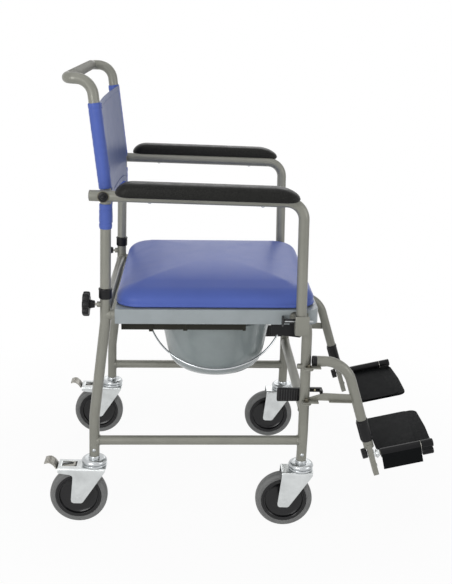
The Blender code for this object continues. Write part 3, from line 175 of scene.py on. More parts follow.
def stem_place(side):
    return CHAIR @ at(SLEEVE_TOP_X, side * LEGREST_Y, SLEEVE_TOP_Z) @ Matrix.Rotation(-STEM_TILT, 4, "Y")


def hinge_place(side):
    return CHAIR @ at(BARREL[0], side * BARREL[1], BARREL[2]) @ Matrix.Rotation(-FOOT_TILT, 4, "Y")


def outward(side):
    # Turns a lathe's axis away from the chair's middle
    return Matrix.Rotation(-side * pi / 2, 4, "X")


def side_name(name, side):
    return name if side is None else f"{name}_{'right' if side == RIGHT else 'left'}"


# Paths and outlines

def fillet(points, radii, steps=10):
    points = [Vector(p) for p in points]
    path = [points[0]]
    for before, corner, after, radius in zip(points, points[1:], points[2:], radii):
        if radius <= 0:
            path.append(corner)
            continue
        into = (before - corner).normalized()
        out = (after - corner).normalized()
        half = into.angle(out) / 2
        reach = radius / tan(half)
        centre = corner + (into + out).normalized() * (radius / sin(half))
        first = corner + into * reach - centre
        last = corner + out * reach - centre
        sweep = first.angle(last)
        for k in range(steps + 1):
            t = k / steps
            path.append(centre + (first * sin((1 - t) * sweep) + last * sin(t * sweep)) / sin(sweep))
    path.append(points[-1])
    return path


def rounded(corners, steps=6):
    outline = []
    for i, here in enumerate(corners):
        before = corners[i - 1][:2]
        after = corners[(i + 1) % len(corners)][:2]
        run = fillet([(*before, 0), (*here[:2], 0), (*after, 0)], [here[2]], steps)
        outline.extend((p.x, p.y) for p in run[1:-1])
    return outline


def slab(rear, front, half, rear_r, front_r, steps):
    # A rectangle seen from above, with its rear and front corners rounded
    corners = [(rear, -half, rear_r), (front, -half, front_r), (front, half, front_r), (rear, half, rear_r)]
    return rounded(corners, steps)


def turns(count):
    return [2 * pi * k / count for k in range(count)]


def lobed(radius, lobes, depth, count):
    radii = [(a, radius - depth * (0.5 - 0.5 * cos(lobes * a)) ** 2) for a in turns(count)]
    return [(r * cos(a), r * sin(a)) for a, r in radii]


def strip(points, thickness):
    points = [Vector(p) for p in points]
    left = []
    right = []
    for i, p in enumerate(points):
        along = (points[min(i + 1, len(points) - 1)] - points[max(i - 1, 0)]).normalized()
        side = Vector((-along.y, along.x)) * thickness / 2
        left.append(tuple(p + side))
        right.append(tuple(p - side))
    return left + right[::-1]


def mirrored(half):
    # A profile's other half, so that the two make one closed section
    return half + [(r, -z) for r, z in half[::-1]]


def mm(*points, x=0.0, z=0.0):
    # Points in millimetres, counted from x, or a radius, and z in metres; a third value is a corner's radius
    return [(x + a / 1000, z + b / 1000, *(c / 1000 for c in rest)) for a, b, *rest in points]


def mix(a, b, t):
    return a + (b - a) * t


def smooth(t):
    t = min(max(t, 0.0), 1.0)
    return t * t * (3 - 2 * t)


# Shape collects closed shells into one mesh

class Shape:
    def __init__(self, place=CHAIR):
        self.bm = bmesh.new()
        self.place = place
        self.slot = 0

    def use(self, slot):
        self.slot = slot
        return self

    def add(self, bm, place=None):
        bmesh.ops.recalc_face_normals(bm, faces=bm.faces)
        for f in bm.faces:
            f.material_index = self.slot
        bm.transform(self.place @ place if place is not None else self.place)
        mesh = mesh_from(bm)
        self.bm.from_mesh(mesh)
        bpy.data.meshes.remove(mesh)
        return self

    def loops(self, rings, place=None, closed=False):
        # Rings of points joined one to the next, with a cap at each end or closed into a band
        bm = bmesh.new()
        verts = [[bm.verts.new(p) for p in ring] for ring in rings]
        count = len(verts[0])
        for low, high in zip(verts, verts[1:] + verts[:1] if closed else verts[1:]):
            for k in range(count):
                m = (k + 1) % count
                bm.faces.new((low[k], low[m], high[m], high[k]))
        if not closed:
            bm.faces.new(verts[0][::-1])
            bm.faces.new(verts[-1])
        return self.add(bm, place)

    def tube(self, points, radius, sides=28, squash=None):
        # radius is one value or one for each point; squash changes a ring's offsets
        pts = [Vector(p) for p in points]
        last = len(pts) - 1
        tangents = [(pts[min(i + 1, last)] - pts[max(i - 1, 0)]).normalized() for i in range(last + 1)]
        ref = tangents[0].orthogonal().normalized()
        rings = []
        for i, p in enumerate(pts):
            if i:
                ref = tangents[i - 1].rotation_difference(tangents[i]) @ ref
                ref = (ref - tangents[i] * ref.dot(tangents[i])).normalized()
            other = tangents[i].cross(ref)
            r = radius[i] if isinstance(radius, list) else radius
            offsets = [ref * cos(a) * r + other * sin(a) * r for a in turns(sides)]
            rings.append([p + (squash(p, d) if squash else d) for d in offsets])
        return self.loops(rings)

    def weld_ring(self, centre, axis, radius, bead=0.0013):
        # A small uneven weld bead round a tube's end
        axis = Vector(axis).normalized()
        ref = axis.orthogonal().normalized()
        other = axis.cross(ref)
        rings = []
        for a in turns(36):
            d = ref * cos(a) + other * sin(a)
            fat = bead * (1 + 0.22 * sin(9 * a) + 0.12 * sin(5 * a + 1))
            middle = Vector(centre) + d * radius
            rings.append([middle + d * fat * cos(b) + axis * fat * sin(b) for b in turns(8)])
        return self.loops(rings, closed=True)

    def lathe(self, profile, place=None, steps=48, closed=False):
        # profile holds (radius, height) points; one on the axis closes that end to a point
        bm = bmesh.new()
        rings = []
        for r, z in profile:
            around = turns(steps) if r > 1e-7 else [0]
            rings.append([bm.verts.new((r * cos(a), r * sin(a), z)) for a in around])
        for low, high in zip(rings, rings[1:] + rings[:1] if closed else rings[1:]):
            for k in range(steps):
                m = (k + 1) % steps
                quad = [low[k % len(low)], low[m % len(low)], high[m % len(high)], high[k % len(high)]]
                corners = list(dict.fromkeys(quad))
                if len(corners) > 2:
                    bm.faces.new(corners)
        if not closed:
            for ring in (rings[0], rings[-1]):
                if len(ring) > 1:
                    bm.faces.new(ring)
        return self.add(bm, place)

    def dome(self, place, steps, *points):
        # A round head, its points in millimetres from the crown outwards and down
        return self.lathe(mm(*points, (0, points[-1][1])), place, steps)

    def rod(self, start, end, radius, bevel=0.0005, steps=28, end_radius=None):
        start = Vector(start)
        axis = Vector(end) - start
        turn = axis.to_track_quat("Z", "Y").to_matrix().to_4x4()
        length = axis.length
        r1 = radius if end_radius is None else end_radius
        b = min(bevel, radius * 0.45, length * 0.45)
        profile = [(0, length), (r1 - b, length), (r1 - b * 0.3, length - b * 0.3), (r1, length - b),
                   (radius, b), (radius - b * 0.3, b * 0.3), (radius - b, 0), (0, 0)]
        return self.lathe(profile, at(*start) @ turn, steps)

    def plate(self, outline, thickness, place=None, bevel=0.0004, segments=2):
        # A flat outline, half of its thickness above its plane and half below
        bm = bmesh.new()
        base = bm.faces.new([bm.verts.new((x, y, -thickness / 2)) for x, y in outline])
        out = bmesh.ops.extrude_face_region(bm, geom=[base])
        moved = [v for v in out["geom"] if isinstance(v, bmesh.types.BMVert)]
        bmesh.ops.translate(bm, verts=moved, vec=(0, 0, thickness))
        bmesh.ops.recalc_face_normals(bm, faces=bm.faces)
        if bevel:
            rim = [e for e in bm.edges if abs(e.verts[0].co.z - e.verts[1].co.z) < thickness / 2]
            bmesh.ops.bevel(bm, geom=rim, offset=bevel, segments=segments, affect="EDGES", profile=0.5,
                            clamp_overlap=True)
        return self.add(bm, place)

    def box(self, low, high, bevel=0.0006):
        low = Vector(low)
        high = Vector(high)
        size = Vector(abs(b - a) for a, b in zip(low, high))
        bm = bmesh.new()
        bmesh.ops.create_cube(bm, size=1.0, matrix=at(*((low + high) / 2)) @ Matrix.Diagonal((*size, 1.0)))
        if bevel:
            bmesh.ops.bevel(bm, geom=list(bm.edges), offset=min(bevel, min(size) * 0.45), segments=2,
                            affect="EDGES", profile=0.5)
        return self.add(bm)


def smoothed(obj, sharp):
    obj.data.shade_smooth()
    obj.data.set_sharp_from_angle(angle=radians(sharp))
    return obj


def linked(name, data):
    obj = bpy.data.objects.new(name, data)
    bpy.context.scene.collection.objects.link(obj)
    return obj


def mesh_from(bm):
    mesh = bpy.data.meshes.new("shape")
    bm.to_mesh(mesh)
    bm.free()
    return mesh


def mesh_object(shape, name, mats=(), sharp=35):
    obj = linked(name, mesh_from(shape.bm))
    for m in mats:
        obj.data.materials.append(m)
    return smoothed(obj, sharp)


def piece(shape, name, mats, body, node=None, side=None, sharp=35, cuts=()):
    # A finished piece on its body; side adds _right or _left, and cuts are shapes taken away from it
    obj = mesh_object(shape, side_name(name, side), mats, sharp)
    if cuts:
        boolean(obj, [mesh_object(cut, "cut") for cut in cuts])
        smoothed(obj, sharp)
    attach(obj, body if body in ("frame", "back") else side_name(body, side))
    if node:
        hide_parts(side_name(node, side))
    return obj


def applied(obj):
    # Bakes an object's modifiers into its mesh
    bpy.context.view_layer.update()
    graph = bpy.context.evaluated_depsgraph_get()
    mesh = bpy.data.meshes.new_from_object(obj.evaluated_get(graph))
    old = obj.data
    obj.modifiers.clear()
    obj.data = mesh
    bpy.data.meshes.remove(old)
    return obj


def boolean(base, tools):
    for tool in tools:
        mod = base.modifiers.new("Boolean", "BOOLEAN")
        mod.operation = "DIFFERENCE"
        mod.solver = "EXACT"
        mod.object = tool
    applied(base)
    for tool in tools:
        bpy.data.objects.remove(tool, do_unlink=True)


# Materials

class Nodes:
    def __init__(self, tree):
        self.tree = tree

    def put(self, socket, value):
        if isinstance(value, bpy.types.NodeSocket):
            self.tree.links.new(value, socket)
        else:
            socket.default_value = value

    def node(self, kind, **values):
        # Values are attributes of the node, or else its inputs, with _ for a space
        n = self.tree.nodes.new("ShaderNode" + kind)
        for key, value in values.items():
            if hasattr(n, key):
                setattr(n, key, value)
            else:
                self.put(n.inputs[key.replace("_", " ")], value)
        return n

    def math(self, operation, a, b):
        m = self.node("Math", operation=operation)
        self.put(m.inputs[0], a)
        self.put(m.inputs[1], b)
        return m.outputs[0]


class Material(Nodes):
    def __init__(self, name):
        self.mat = bpy.data.materials.new(name)
        self.mat.use_nodes = True
        super().__init__(self.mat.node_tree)
        self.shader = self.tree.nodes["Principled BSDF"]
        self.coords = self.node("TexCoord").outputs["Object"]

    def noise(self, scale, detail=2.0, roughness=0.5):
        n = self.node("TexNoise", Scale=scale, Detail=detail, Roughness=roughness, Vector=self.coords)
        return n.outputs["Fac"]

    def voronoi(self, scale, feature, vector):
        return self.node("TexVoronoi", feature=feature, Scale=scale, Vector=vector).outputs["Distance"]

    def ramp(self, value, low, high, a, b):
        n = self.node("MapRange", Value=value, From_Min=low, From_Max=high, To_Min=a, To_Max=b)
        return n.outputs["Result"]

    def weighed(self, a, share_a, b, share_b):
        return self.math("ADD", self.math("MULTIPLY", a, share_a), self.math("MULTIPLY", b, share_b))

    def bump(self, height, distance, strength, chain=None):
        n = self.node("Bump", Strength=strength, Distance=distance, Height=height)
        if chain is not None:
            self.put(n.inputs["Normal"], chain)
        return n.outputs["Normal"]

    def tint(self, value, low, high, colour, dark, light):
        # Base colour from a darker to a lighter shade of one colour, as the value goes from low to high
        factor = self.ramp(value, low, high, 0, 1)
        mixer = self.node("Mix", data_type="RGBA", Factor=factor)
        for socket, k in zip([s for s in mixer.inputs if s.type == "RGBA"], (dark, light)):
            socket.default_value = (*(min(c * k, 1.0) for c in colour), 1.0)
        return self.set(Base_Color=[s for s in mixer.outputs if s.type == "RGBA"][0])

    def rough(self, value, a, b):
        return self.set(Roughness=self.ramp(value, 0.3, 0.7, a, b))

    def set(self, **values):
        for key, value in values.items():
            self.put(self.shader.inputs[key.replace("_", " ")], value)
        return self


def paint_material(name, colour, metallic=0.22, roughness=0.34, shine=0.3):
    # Sprayed metallic paint: fine flake, faint orange peel, slightly duller patches
    n = Material(name)
    n.tint(n.weighed(n.noise(5200, 1.0), 0.55, n.noise(16, 3.0), 0.45), 0.35, 0.65, colour, 0.88, 1.12)
    n.rough(n.noise(60, 4.0), roughness - 0.06, roughness + 0.08)
    n.set(Normal=n.bump(n.noise(420), 0.00005, 0.08), Metallic=metallic, Specular_IOR_Level=shine)
    return n.mat


def metal_material(name, colour, roughness, grain=0.12):
    # Plated or drawn metal: a cloudy tone with a fine grain in colour, gloss and relief
    n = Material(name)
    soft = n.noise(45, 4.0)
    fine = n.noise(900)
    n.tint(n.weighed(soft, 0.6, fine, 0.4), 0.35, 0.65, colour, 1 - grain, 1 + grain)
    n.rough(fine, roughness * 0.8, roughness * 1.25)
    n.set(Metallic=1.0, Normal=n.bump(fine, 0.0001, 0.25))
    return n.mat


def plastic_material(name, colour, roughness, grain_scale=900, grain=0.00015, strength=0.4, coat=0.0,
                     shine=0.5):
    # Moulded plastic: a slightly uneven tone and gloss over a fine moulded grain
    n = Material(name)
    spread = n.noise(22, 3.0)
    fine = n.noise(grain_scale)
    n.tint(spread, 0.3, 0.7, colour, 0.93, 1.07)
    n.rough(n.noise(80, 3.0), roughness * 0.9, roughness * 1.12)
    n.set(Normal=n.bump(fine, grain, strength), Coat_Weight=coat, Coat_Roughness=0.15,
          Specular_IOR_Level=shine)
    return n.mat


def foam_material(name, colour):
    # Skinned foam: fine pits that catch the light as a faint speckle
    n = Material(name)
    pits = n.noise(620, 3.0)
    n.tint(pits, 0.42, 0.66, colour, 0.75, 2.6)
    n.rough(n.noise(60, 3.0), 0.4, 0.52)
    n.set(Normal=n.bump(pits, 0.0004, 0.45), Specular_IOR_Level=0.16)
    return n.mat


def vinyl_material(name, colour, roughness, grain=1100, shine=0.15):
    # Embossed leather grain: cells with soft creases, and a little unevenness in tone
    n = Material(name)
    warp = n.node("Mix", data_type="VECTOR", Factor=0.0012)
    wander = n.node("TexNoise", Scale=300, Vector=n.coords).outputs["Color"]
    for key, value in (("A", n.coords), ("B", wander)):
        n.put([s for s in warp.inputs if s.type == "VECTOR" and s.name == key][0], value)
    warped = [s for s in warp.outputs if s.type == "VECTOR"][0]
    cells = n.voronoi(grain, "F1", warped)
    creases = n.voronoi(grain * 0.55, "DISTANCE_TO_EDGE", warped)
    height = n.math("ADD", n.math("MULTIPLY", cells, -0.5), n.ramp(creases, 0.0, 0.18, 0.0, 0.6))
    n.tint(n.weighed(n.noise(7, 4.0, 0.6), 0.75, n.noise(420), 0.25), 0.35, 0.65, colour, 0.965, 1.035)
    n.rough(n.noise(35, 4.0), roughness - 0.02, roughness + 0.03)
    n.set(Normal=n.bump(height, 0.00012, 0.35), Specular_IOR_Level=shine, Sheen_Weight=0.02,
          Sheen_Roughness=0.4)
    return n.mat


def rubber_material(name, colour, centre_x, centre_z):
    # Tread rubber: rings round the axle that show as fine concentric ribs on the side wall
    n = Material(name)
    split = n.node("SeparateXYZ", Vector=n.coords)
    dx = n.math("SUBTRACT", split.outputs["X"], centre_x)
    dz = n.math("SUBTRACT", split.outputs["Z"], centre_z)
    r = n.math("SQRT", n.math("ADD", n.math("MULTIPLY", dx, dx), n.math("MULTIPLY", dz, dz)), 0)
    ribs = n.math("SINE", n.math("MULTIPLY", r, 2 * pi / 0.0016), 0)
    dust = n.noise(70, 5.0, 0.6)
    # painted shade: the ribs also make the colour lighter on their crests and darker in their grooves
    n.tint(n.math("ADD", n.math("MULTIPLY", ribs, 0.18), dust), 0.25, 0.8, colour, 0.8, 1.16)
    n.rough(dust, 0.5, 0.68)
    n.set(Normal=n.bump(n.noise(1400), 0.0001, 0.35, n.bump(ribs, 0.0002, 0.35)))
    return n.mat


PAINT = paint_material("frame_paint", (0.282, 0.281, 0.245))
# painted shade: a duller copy of the frame paint, for the push bar only
SHADED_BAR_PAINT = paint_material("handle_paint", (0.29, 0.285, 0.255), 0.0, 0.55, 0.04)
ZINC = metal_material("zinc_plate", (0.6, 0.62, 0.62), 0.3)
CHROME = metal_material("bright_metal", (0.5, 0.52, 0.53), 0.28, grain=0.08)
PEDAL = metal_material("pedal_steel", (0.33, 0.32, 0.29), 0.36)
WIRE = metal_material("bright_wire", (0.62, 0.64, 0.66), 0.18, grain=0.06)
STEEL = metal_material("dull_steel", (0.36, 0.35, 0.32), 0.36)
DARK_STEEL = metal_material("dark_steel", (0.14, 0.13, 0.1), 0.34)
RIB_BLACK = plastic_material("ribbed_black", (0.012, 0.012, 0.012), 0.3, 500, 0.0001, 0.2, shine=0.5)
YELLOW_ZINC = metal_material("yellow_zinc", (0.46, 0.41, 0.27), 0.34)
VINYL = vinyl_material("blue_vinyl", (0.108, 0.166, 0.53), 0.36)
# painted shade: a darker, greyer copy of the blue vinyl, for the sling's panel
SHADED_PANEL_VINYL = vinyl_material("sling_panel_shaded_vinyl", (0.102, 0.138, 0.3), 0.4)
THREAD = plastic_material("blue_thread", (0.05, 0.08, 0.27), 0.6, 1500, 0.0003, 0.6)
BLACK = plastic_material("black_plastic", (0.011, 0.011, 0.012), 0.36, shine=0.22)
GLOSS_BLACK = plastic_material("gloss_black", (0.01, 0.01, 0.011), 0.22, 400, 0.0001, 0.15, shine=0.35)
FOAM = foam_material("foam_skin", (0.009, 0.009, 0.0082))
PLATE = plastic_material("seat_plate_plastic", (0.366, 0.407, 0.423), 0.36, 600, 0.0001, 0.2)
PAN = plastic_material("pan_plastic", (0.3, 0.345, 0.35), 0.22, 200, 0.0002, 0.12, coat=0.2)
FOOT = plastic_material("footplate_plastic", (0.0085, 0.0092, 0.0098), 0.42, 1300, 0.0005, 0.7, shine=0.02)
BARREL_BLACK = plastic_material("barrel_black", (0.009, 0.009, 0.01), 0.34, 900, 0.0002, 0.3, shine=0.16)
RAIL = plastic_material("rail_plastic", (0.03, 0.029, 0.022), 0.38, 700, 0.0002, 0.3, shine=0.15)


# Camera, light and ground

def camera():
    # Solved from the photo's points; the lens follows from its focal length in pixels
    yaw, pitch, roll = 0.043, 0.2873, 0.0414
    focal_px, width_px = 949.405, 452
    ahead = Vector((sin(yaw) * cos(pitch), cos(yaw) * cos(pitch), -sin(pitch)))
    right = Vector((cos(yaw), -sin(yaw), 0))
    up = right.cross(ahead)
    across = right * cos(roll) + up * sin(roll)
    top = up * cos(roll) - right * sin(roll)
    data = bpy.data.cameras.new("camera")
    data.sensor_fit = "HORIZONTAL"
    data.sensor_width = 36
    data.lens = focal_px * data.sensor_width / width_px
    obj = linked("camera", data)
    turn = Matrix((across, top, -ahead)).transposed().to_4x4()
    obj.matrix_world = CHAIR @ at(0.1895, -2.1091, 1.0879) @ turn
    bpy.context.scene.camera = obj


def white_for_camera(n, surface, output, kind, share=1.0):
    # Camera, mirror and glass rays see plain white over the lit surface, in the share given
    path = n.node("LightPath").outputs
    seen = n.math("MAXIMUM", path["Is Camera Ray"], path["Is Glossy Ray"])
    seen = n.math("MAXIMUM", seen, path["Is Transmission Ray"])
    part = n.math("MULTIPLY", seen, share)
    white = n.node(kind, Color=(1, 1, 1, 1), Strength=1.0).outputs[0]
    mixer = n.node("MixShader", Fac=part)
    n.put(mixer.inputs[1], surface)
    n.put(mixer.inputs[2], white)
    n.put(output.inputs["Surface"], mixer.outputs[0])


def studio():
    world = bpy.data.worlds.new("studio")
    bpy.context.scene.world = world
    world.use_nodes = True
    n = Nodes(world.node_tree)
    back = n.tree.nodes["Background"]
    back.inputs["Color"].default_value = (1, 1, 1, 1)
    back.inputs["Strength"].default_value = 0.27
    white_for_camera(n, back.outputs[0], n.tree.nodes["World Output"], "Background")
    n = Material("floor")
    n.set(Base_Color=(0.86, 0.86, 0.86, 1.0), Roughness=0.9)
    away = n.node("VectorMath", operation="LENGTH")
    n.put(away.inputs[0], n.coords)
    share = n.ramp(away.outputs["Value"], 0.45, 1.1, 0.95, 1.0)
    white_for_camera(n, n.shader.outputs[0], n.tree.nodes["Material Output"], "Emission", share)
    floor = Shape(at(0, 0, 0))
    floor.plate([(-6, -6), (6, -6), (6, 6), (-6, 6)], 0.01, at(0, 0, -0.0052), bevel=0)
    mesh_object(floor, "floor", [n.mat])
    for name, place, target_z, size, power in (("overhead", (-0.2, -0.6, 2.6), 0.4, 1.9, 7.0),
                                               ("front_left", (-1.5, -2.6, 1.2), 0.5, 1.3, 32.0),
                                               ("right", (2.4, -1.4, 1.1), 0.4, 1.1, 10.0),
                                               ("behind", (0.2, 2.4, 1.8), 0.5, 1.4, 9.0)):
        data = bpy.data.lights.new(name, "AREA")
        data.shape = "SQUARE"
        data.size = size
        data.energy = power
        lamp = linked(name, data)
        lamp.location = place
        aim = Vector((0.0, 0.0, target_z)) - Vector(place)
        lamp.rotation_euler = aim.to_track_quat("-Z", "Y").to_euler()


# Frame

def front_post_x(z):
    return STEM_SPACING - max(z - FRONT_KINK_Z, 0.0) * tan(SEAT_TILT)


def front_corner():
    slope = tan(SEAT_TILT)
    x = (STEM_SPACING - (SEAT_RAIL_Z - FRONT_KINK_Z) * slope) / (1 + slope * slope)
    return x, SEAT_RAIL_Z + x * slope


def front_cross_x():
    return front_corner()[0] - SEAT_RAIL_BEND - 0.004


def side_frames():
    for side in (RIGHT, LEFT):
        s = Shape()
        posts_and_rails(s, side)
        legrest_lugs(s, side)
        arm_socket(s, side)
        hinge_pins(side)
        post_rivets(side)
        plunger_barrel(side)
        piece(s, "painted_side_frame", [PAINT], "frame", "side_frame", side)


def plunger_barrel(side):
    # The arm lock's barrel behind the socket, with a painted highlight: a thin chrome strip along its outer
    # side stands in for the highlight line on the glossy black barrel
    front = arm_leg_x(LOCK_Z) - SOCKET_HALF
    y = side * ARM_Y
    s = Shape().rod((LOCK_BARREL_X, y, LOCK_Z), (front + 0.0008, y, LOCK_Z), 0.0046)
    # painted highlight: the chrome strip below stands in for the highlight line along the glossy barrel
    y = side * (ARM_Y + 0.0038)
    z = LOCK_Z + 0.0002
    s.use(1).rod((LOCK_BARREL_X + 0.0006, y, z), (front + 0.0006, y, z), 0.0012, 0.0003, 12)
    piece(s, "plunger_barrel", [GLOSS_BLACK, CHROME], "frame", None, side)


def post_rivets(side):
    rivets = Shape()
    for x in (0, STEM_SPACING):
        face = at(x, side * (HALF + TUBE_R - 0.0002), POST_RIVET_Z) @ outward(side)
        rivets.dome(face, 22, (0, 2), (1.6, 1.8), (3, 1.1), (3.7, 0.3), (3.8, -1))
    piece(rivets, "post_rivets", [CHROME], "frame", None, side)


def hinge_pins(side):
    # A hexagon head over a round flange on the pin of each lug
    pins = Shape(FRONT_POST @ at(0, side * LEGREST_HINGE_Y, 0))
    for lug, height in ((UPPER_LUG_Z, 0.009), (LOWER_LUG_Z, 0.011)):
        base = lug + 0.0062 + GAP
        head = mm((0, 0), (2.4, -0.2), (3.8, -1.2), (4.2, -2.4), z=lug + LUG_SHEET + height)
        pins.lathe(head + mm((4.2, 1.4), (0, 1.4), z=base), None, 6)
        pins.lathe(mm((0, 1.4), (6.2, 1.4), (6.6, 1), (6.6, 0.2), (6.2, 0), (0, 0), z=base), None, 28)
    piece(pins, "hinge_pins", [DARK_STEEL], "frame", None, side)


def arm_socket(s, side):
    # A channel bent from sheet, open to the front, that leans with the arm's leg, and the block that holds it
    half = SOCKET_HALF
    bent = fillet([(SOCKET_FRONT, -half, 0), (-half, -half, 0), (-half, half, 0), (SOCKET_FRONT, half, 0)],
                  [0.0032, 0.0032], 6)
    line = [p.xy for p in bent]
    inner = []
    for k, p in enumerate(line):
        along = (line[min(k + 1, len(line) - 1)] - line[max(k - 1, 0)]).normalized()
        normal = Vector((-along.y, along.x)) * SOCKET_WALL
        inner.append(p + normal if p.dot(normal) <= 0 else p - normal)
    middle = at(arm_leg_x(SOCKET_MIDDLE_Z), side * ARM_Y, SOCKET_MIDDLE_Z)
    lean = Matrix.Rotation(-ARM_LEG_SLOPE, 4, "Y")
    s.plate(line + inner[::-1], SOCKET_HEIGHT, middle @ lean, 0.0003)
    low = SOCKET_MIDDLE_Z - SOCKET_HEIGHT / 2
    s.box((STEM_SPACING - TUBE_R, side * HALF, low + 0.0006),
          (arm_leg_x(low) + SOCKET_FRONT - 0.0008, side * (ARM_Y - half + SOCKET_WALL / 2), low + 0.013))


def legrest_lugs(s, side):
    # Two flat lugs with their pins, a stub that the hanger rests on, and the two ears of the latch
    s.place = FRONT_POST
    y = side * LEGREST_HINGE_Y
    for z in (UPPER_LUG_Z, LOWER_LUG_Z):
        s.rod((0, y, z), (0, y, z + LUG_SHEET), LUG_R, 0.0004, 36)
        s.box((-0.0085, side * HALF, z + 0.0001), (0.0055, y, z + 0.0029), 0.0004)
        s.rod((0, y, z + 0.0015), (0, y, z + 0.007), 0.0038, 0.0004)
    y = side * (HALF + 0.003)
    s.rod((0, y, UPPER_LUG_Z), (-TUBE_R - 0.0115, y, UPPER_LUG_Z), 0.0058, 0.0022)
    y = side * LATCH_Y
    for z in (LATCH_LOW - GAP - EAR_SHEET, LATCH_HIGH + GAP):
        s.box((-0.006, side * (HALF - TUBE_R / 2), z),
              (0.005, side * (LATCH_Y - 0.0045), z + EAR_SHEET), 0.0005)
    s.rod((0, y, LATCH_LOW - 0.0035), (0, y, LATCH_HIGH + 0.0035), 0.0019, 0.0004, 16)
    s.place = CHAIR


def posts_and_rails(s, side):
    y = side * HALF
    corner_x, corner_z = front_corner()
    s.tube(fillet([(0, y, POST_BOTTOM), (0, y, POST_KINK_LOW), (POST_OFFSET, y, POST_KINK_HIGH),
                   (POST_OFFSET, y, POST_TOP)], [0.06, 0.06], 6), TUBE_R, 32)
    s.tube(fillet([(STEM_SPACING, y, POST_BOTTOM), (STEM_SPACING, y, FRONT_KINK_Z), (corner_x, y, corner_z),
                   (POST_OFFSET, y, SEAT_RAIL_Z + POST_OFFSET * tan(SEAT_TILT))], [0.3, SEAT_RAIL_BEND], 12),
           TUBE_R, 32)
    s.tube([(0, y, LOWER_RAIL_REAR_Z), (STEM_SPACING, y, LOWER_RAIL_FRONT_Z)], LOWER_RAIL_R, 28)
    rail = (STEM_SPACING, 0, LOWER_RAIL_FRONT_Z - LOWER_RAIL_REAR_Z)
    weld = TUBE_R + 0.0002
    s.weld_ring((weld, y, LOWER_RAIL_REAR_Z + 0.0003), rail, LOWER_RAIL_R)
    s.weld_ring((STEM_SPACING - weld, y, LOWER_RAIL_FRONT_Z - 0.0003), rail, LOWER_RAIL_R)
    s.weld_ring((POST_OFFSET + weld, y, SEAT_RAIL_Z + 0.0008), (1, 0, 0.024), TUBE_R)
    # the boss that the back clamp's screw turns in
    face = POST_OFFSET - TUBE_R
    s.rod((face - 0.006, y, CLAMP_Z), (face + 0.002, y, CLAMP_Z), 0.0062)


def cross_tubes():
    front_x = front_cross_x()
    reach = HALF - TUBE_R - GAP
    for name, x, z in (("rear_cross_tube", POST_OFFSET, SEAT_RAIL_Z + POST_OFFSET * tan(SEAT_TILT)),
                       ("front_cross_tube", front_x, SEAT_RAIL_Z + front_x * tan(SEAT_TILT)),
                       ("lower_cross_tube", front_post_x(LOWER_CROSS_Z), LOWER_CROSS_Z)):
        s = Shape().tube([(x, -reach, z), (x, 0, z), (x, reach, z)], TUBE_R, 32)
        for side in (RIGHT, LEFT):
            s.weld_ring((x, side * (reach - 0.0006), z), (0, 1, 0), TUBE_R, 0.0011)
        piece(s, "painted_" + name, [PAINT], "frame", name)


def collars():
    top = BACK_STOP_Z - GAP
    profile = (mm((10, 0), (12.2, 0), (13.8, -0.6), (14.3, -1.5), (14.3, -2.8), (13.6, -3.4), z=top)
               + mm((13.6, 3), (13.2, 0.8), (12.5, 0), (11.5, 0), z=top - 0.0218)
               + mm((11.5, -2), (10, -2), z=top))
    for side in (RIGHT, LEFT):
        s = Shape().lathe(profile, at(POST_OFFSET, side * HALF, 0), 40, closed=True)
        piece(s, "collar", [BLACK], "frame", "post_collar", side)


# Casters

def bent_sheet(rows, thickness, leave_out=None, bevel=0.0):
    # A surface through rows of points, without the quads left out, thickened to both sides of its middle
    bm = bmesh.new()
    verts = [[bm.verts.new(p) for p in row] for row in rows]
    for a, b in zip(verts, verts[1:]):
        for p, q, r, t in zip(a, a[1:], b[1:], b):
            if not (leave_out and leave_out(p.co, r.co)):
                bm.faces.new((p, q, r, t))
    bmesh.ops.delete(bm, geom=[v for v in bm.verts if not v.link_faces], context="VERTS")
    bmesh.ops.remove_doubles(bm, verts=bm.verts, dist=1e-6)
    bmesh.ops.recalc_face_normals(bm, faces=bm.faces)
    obj = linked("sheet", mesh_from(bm))
    mod = obj.modifiers.new("Solidify", "SOLIDIFY")
    mod.thickness = thickness
    mod.offset = 0.0
    if bevel:
        mod.use_even_offset = True
        mod = obj.modifiers.new("Bevel", "BEVEL")
        mod.width = bevel
        mod.segments = 2
        mod.limit_method = "ANGLE"
        mod.angle_limit = radians(50)
    applied(obj)
    out = bmesh.new()
    out.from_mesh(obj.data)
    bpy.data.objects.remove(obj, do_unlink=True)
    return out


def edge_x(points, z):
    # Where an edge, given as (x, z) points from its foot up, stands at the height z
    for (x, low), (x_next, high) in zip(points, points[1:]):
        if z <= high:
            return mix(x, x_next, max(z - low, 0.0) / (high - low))
    return points[-1][0]


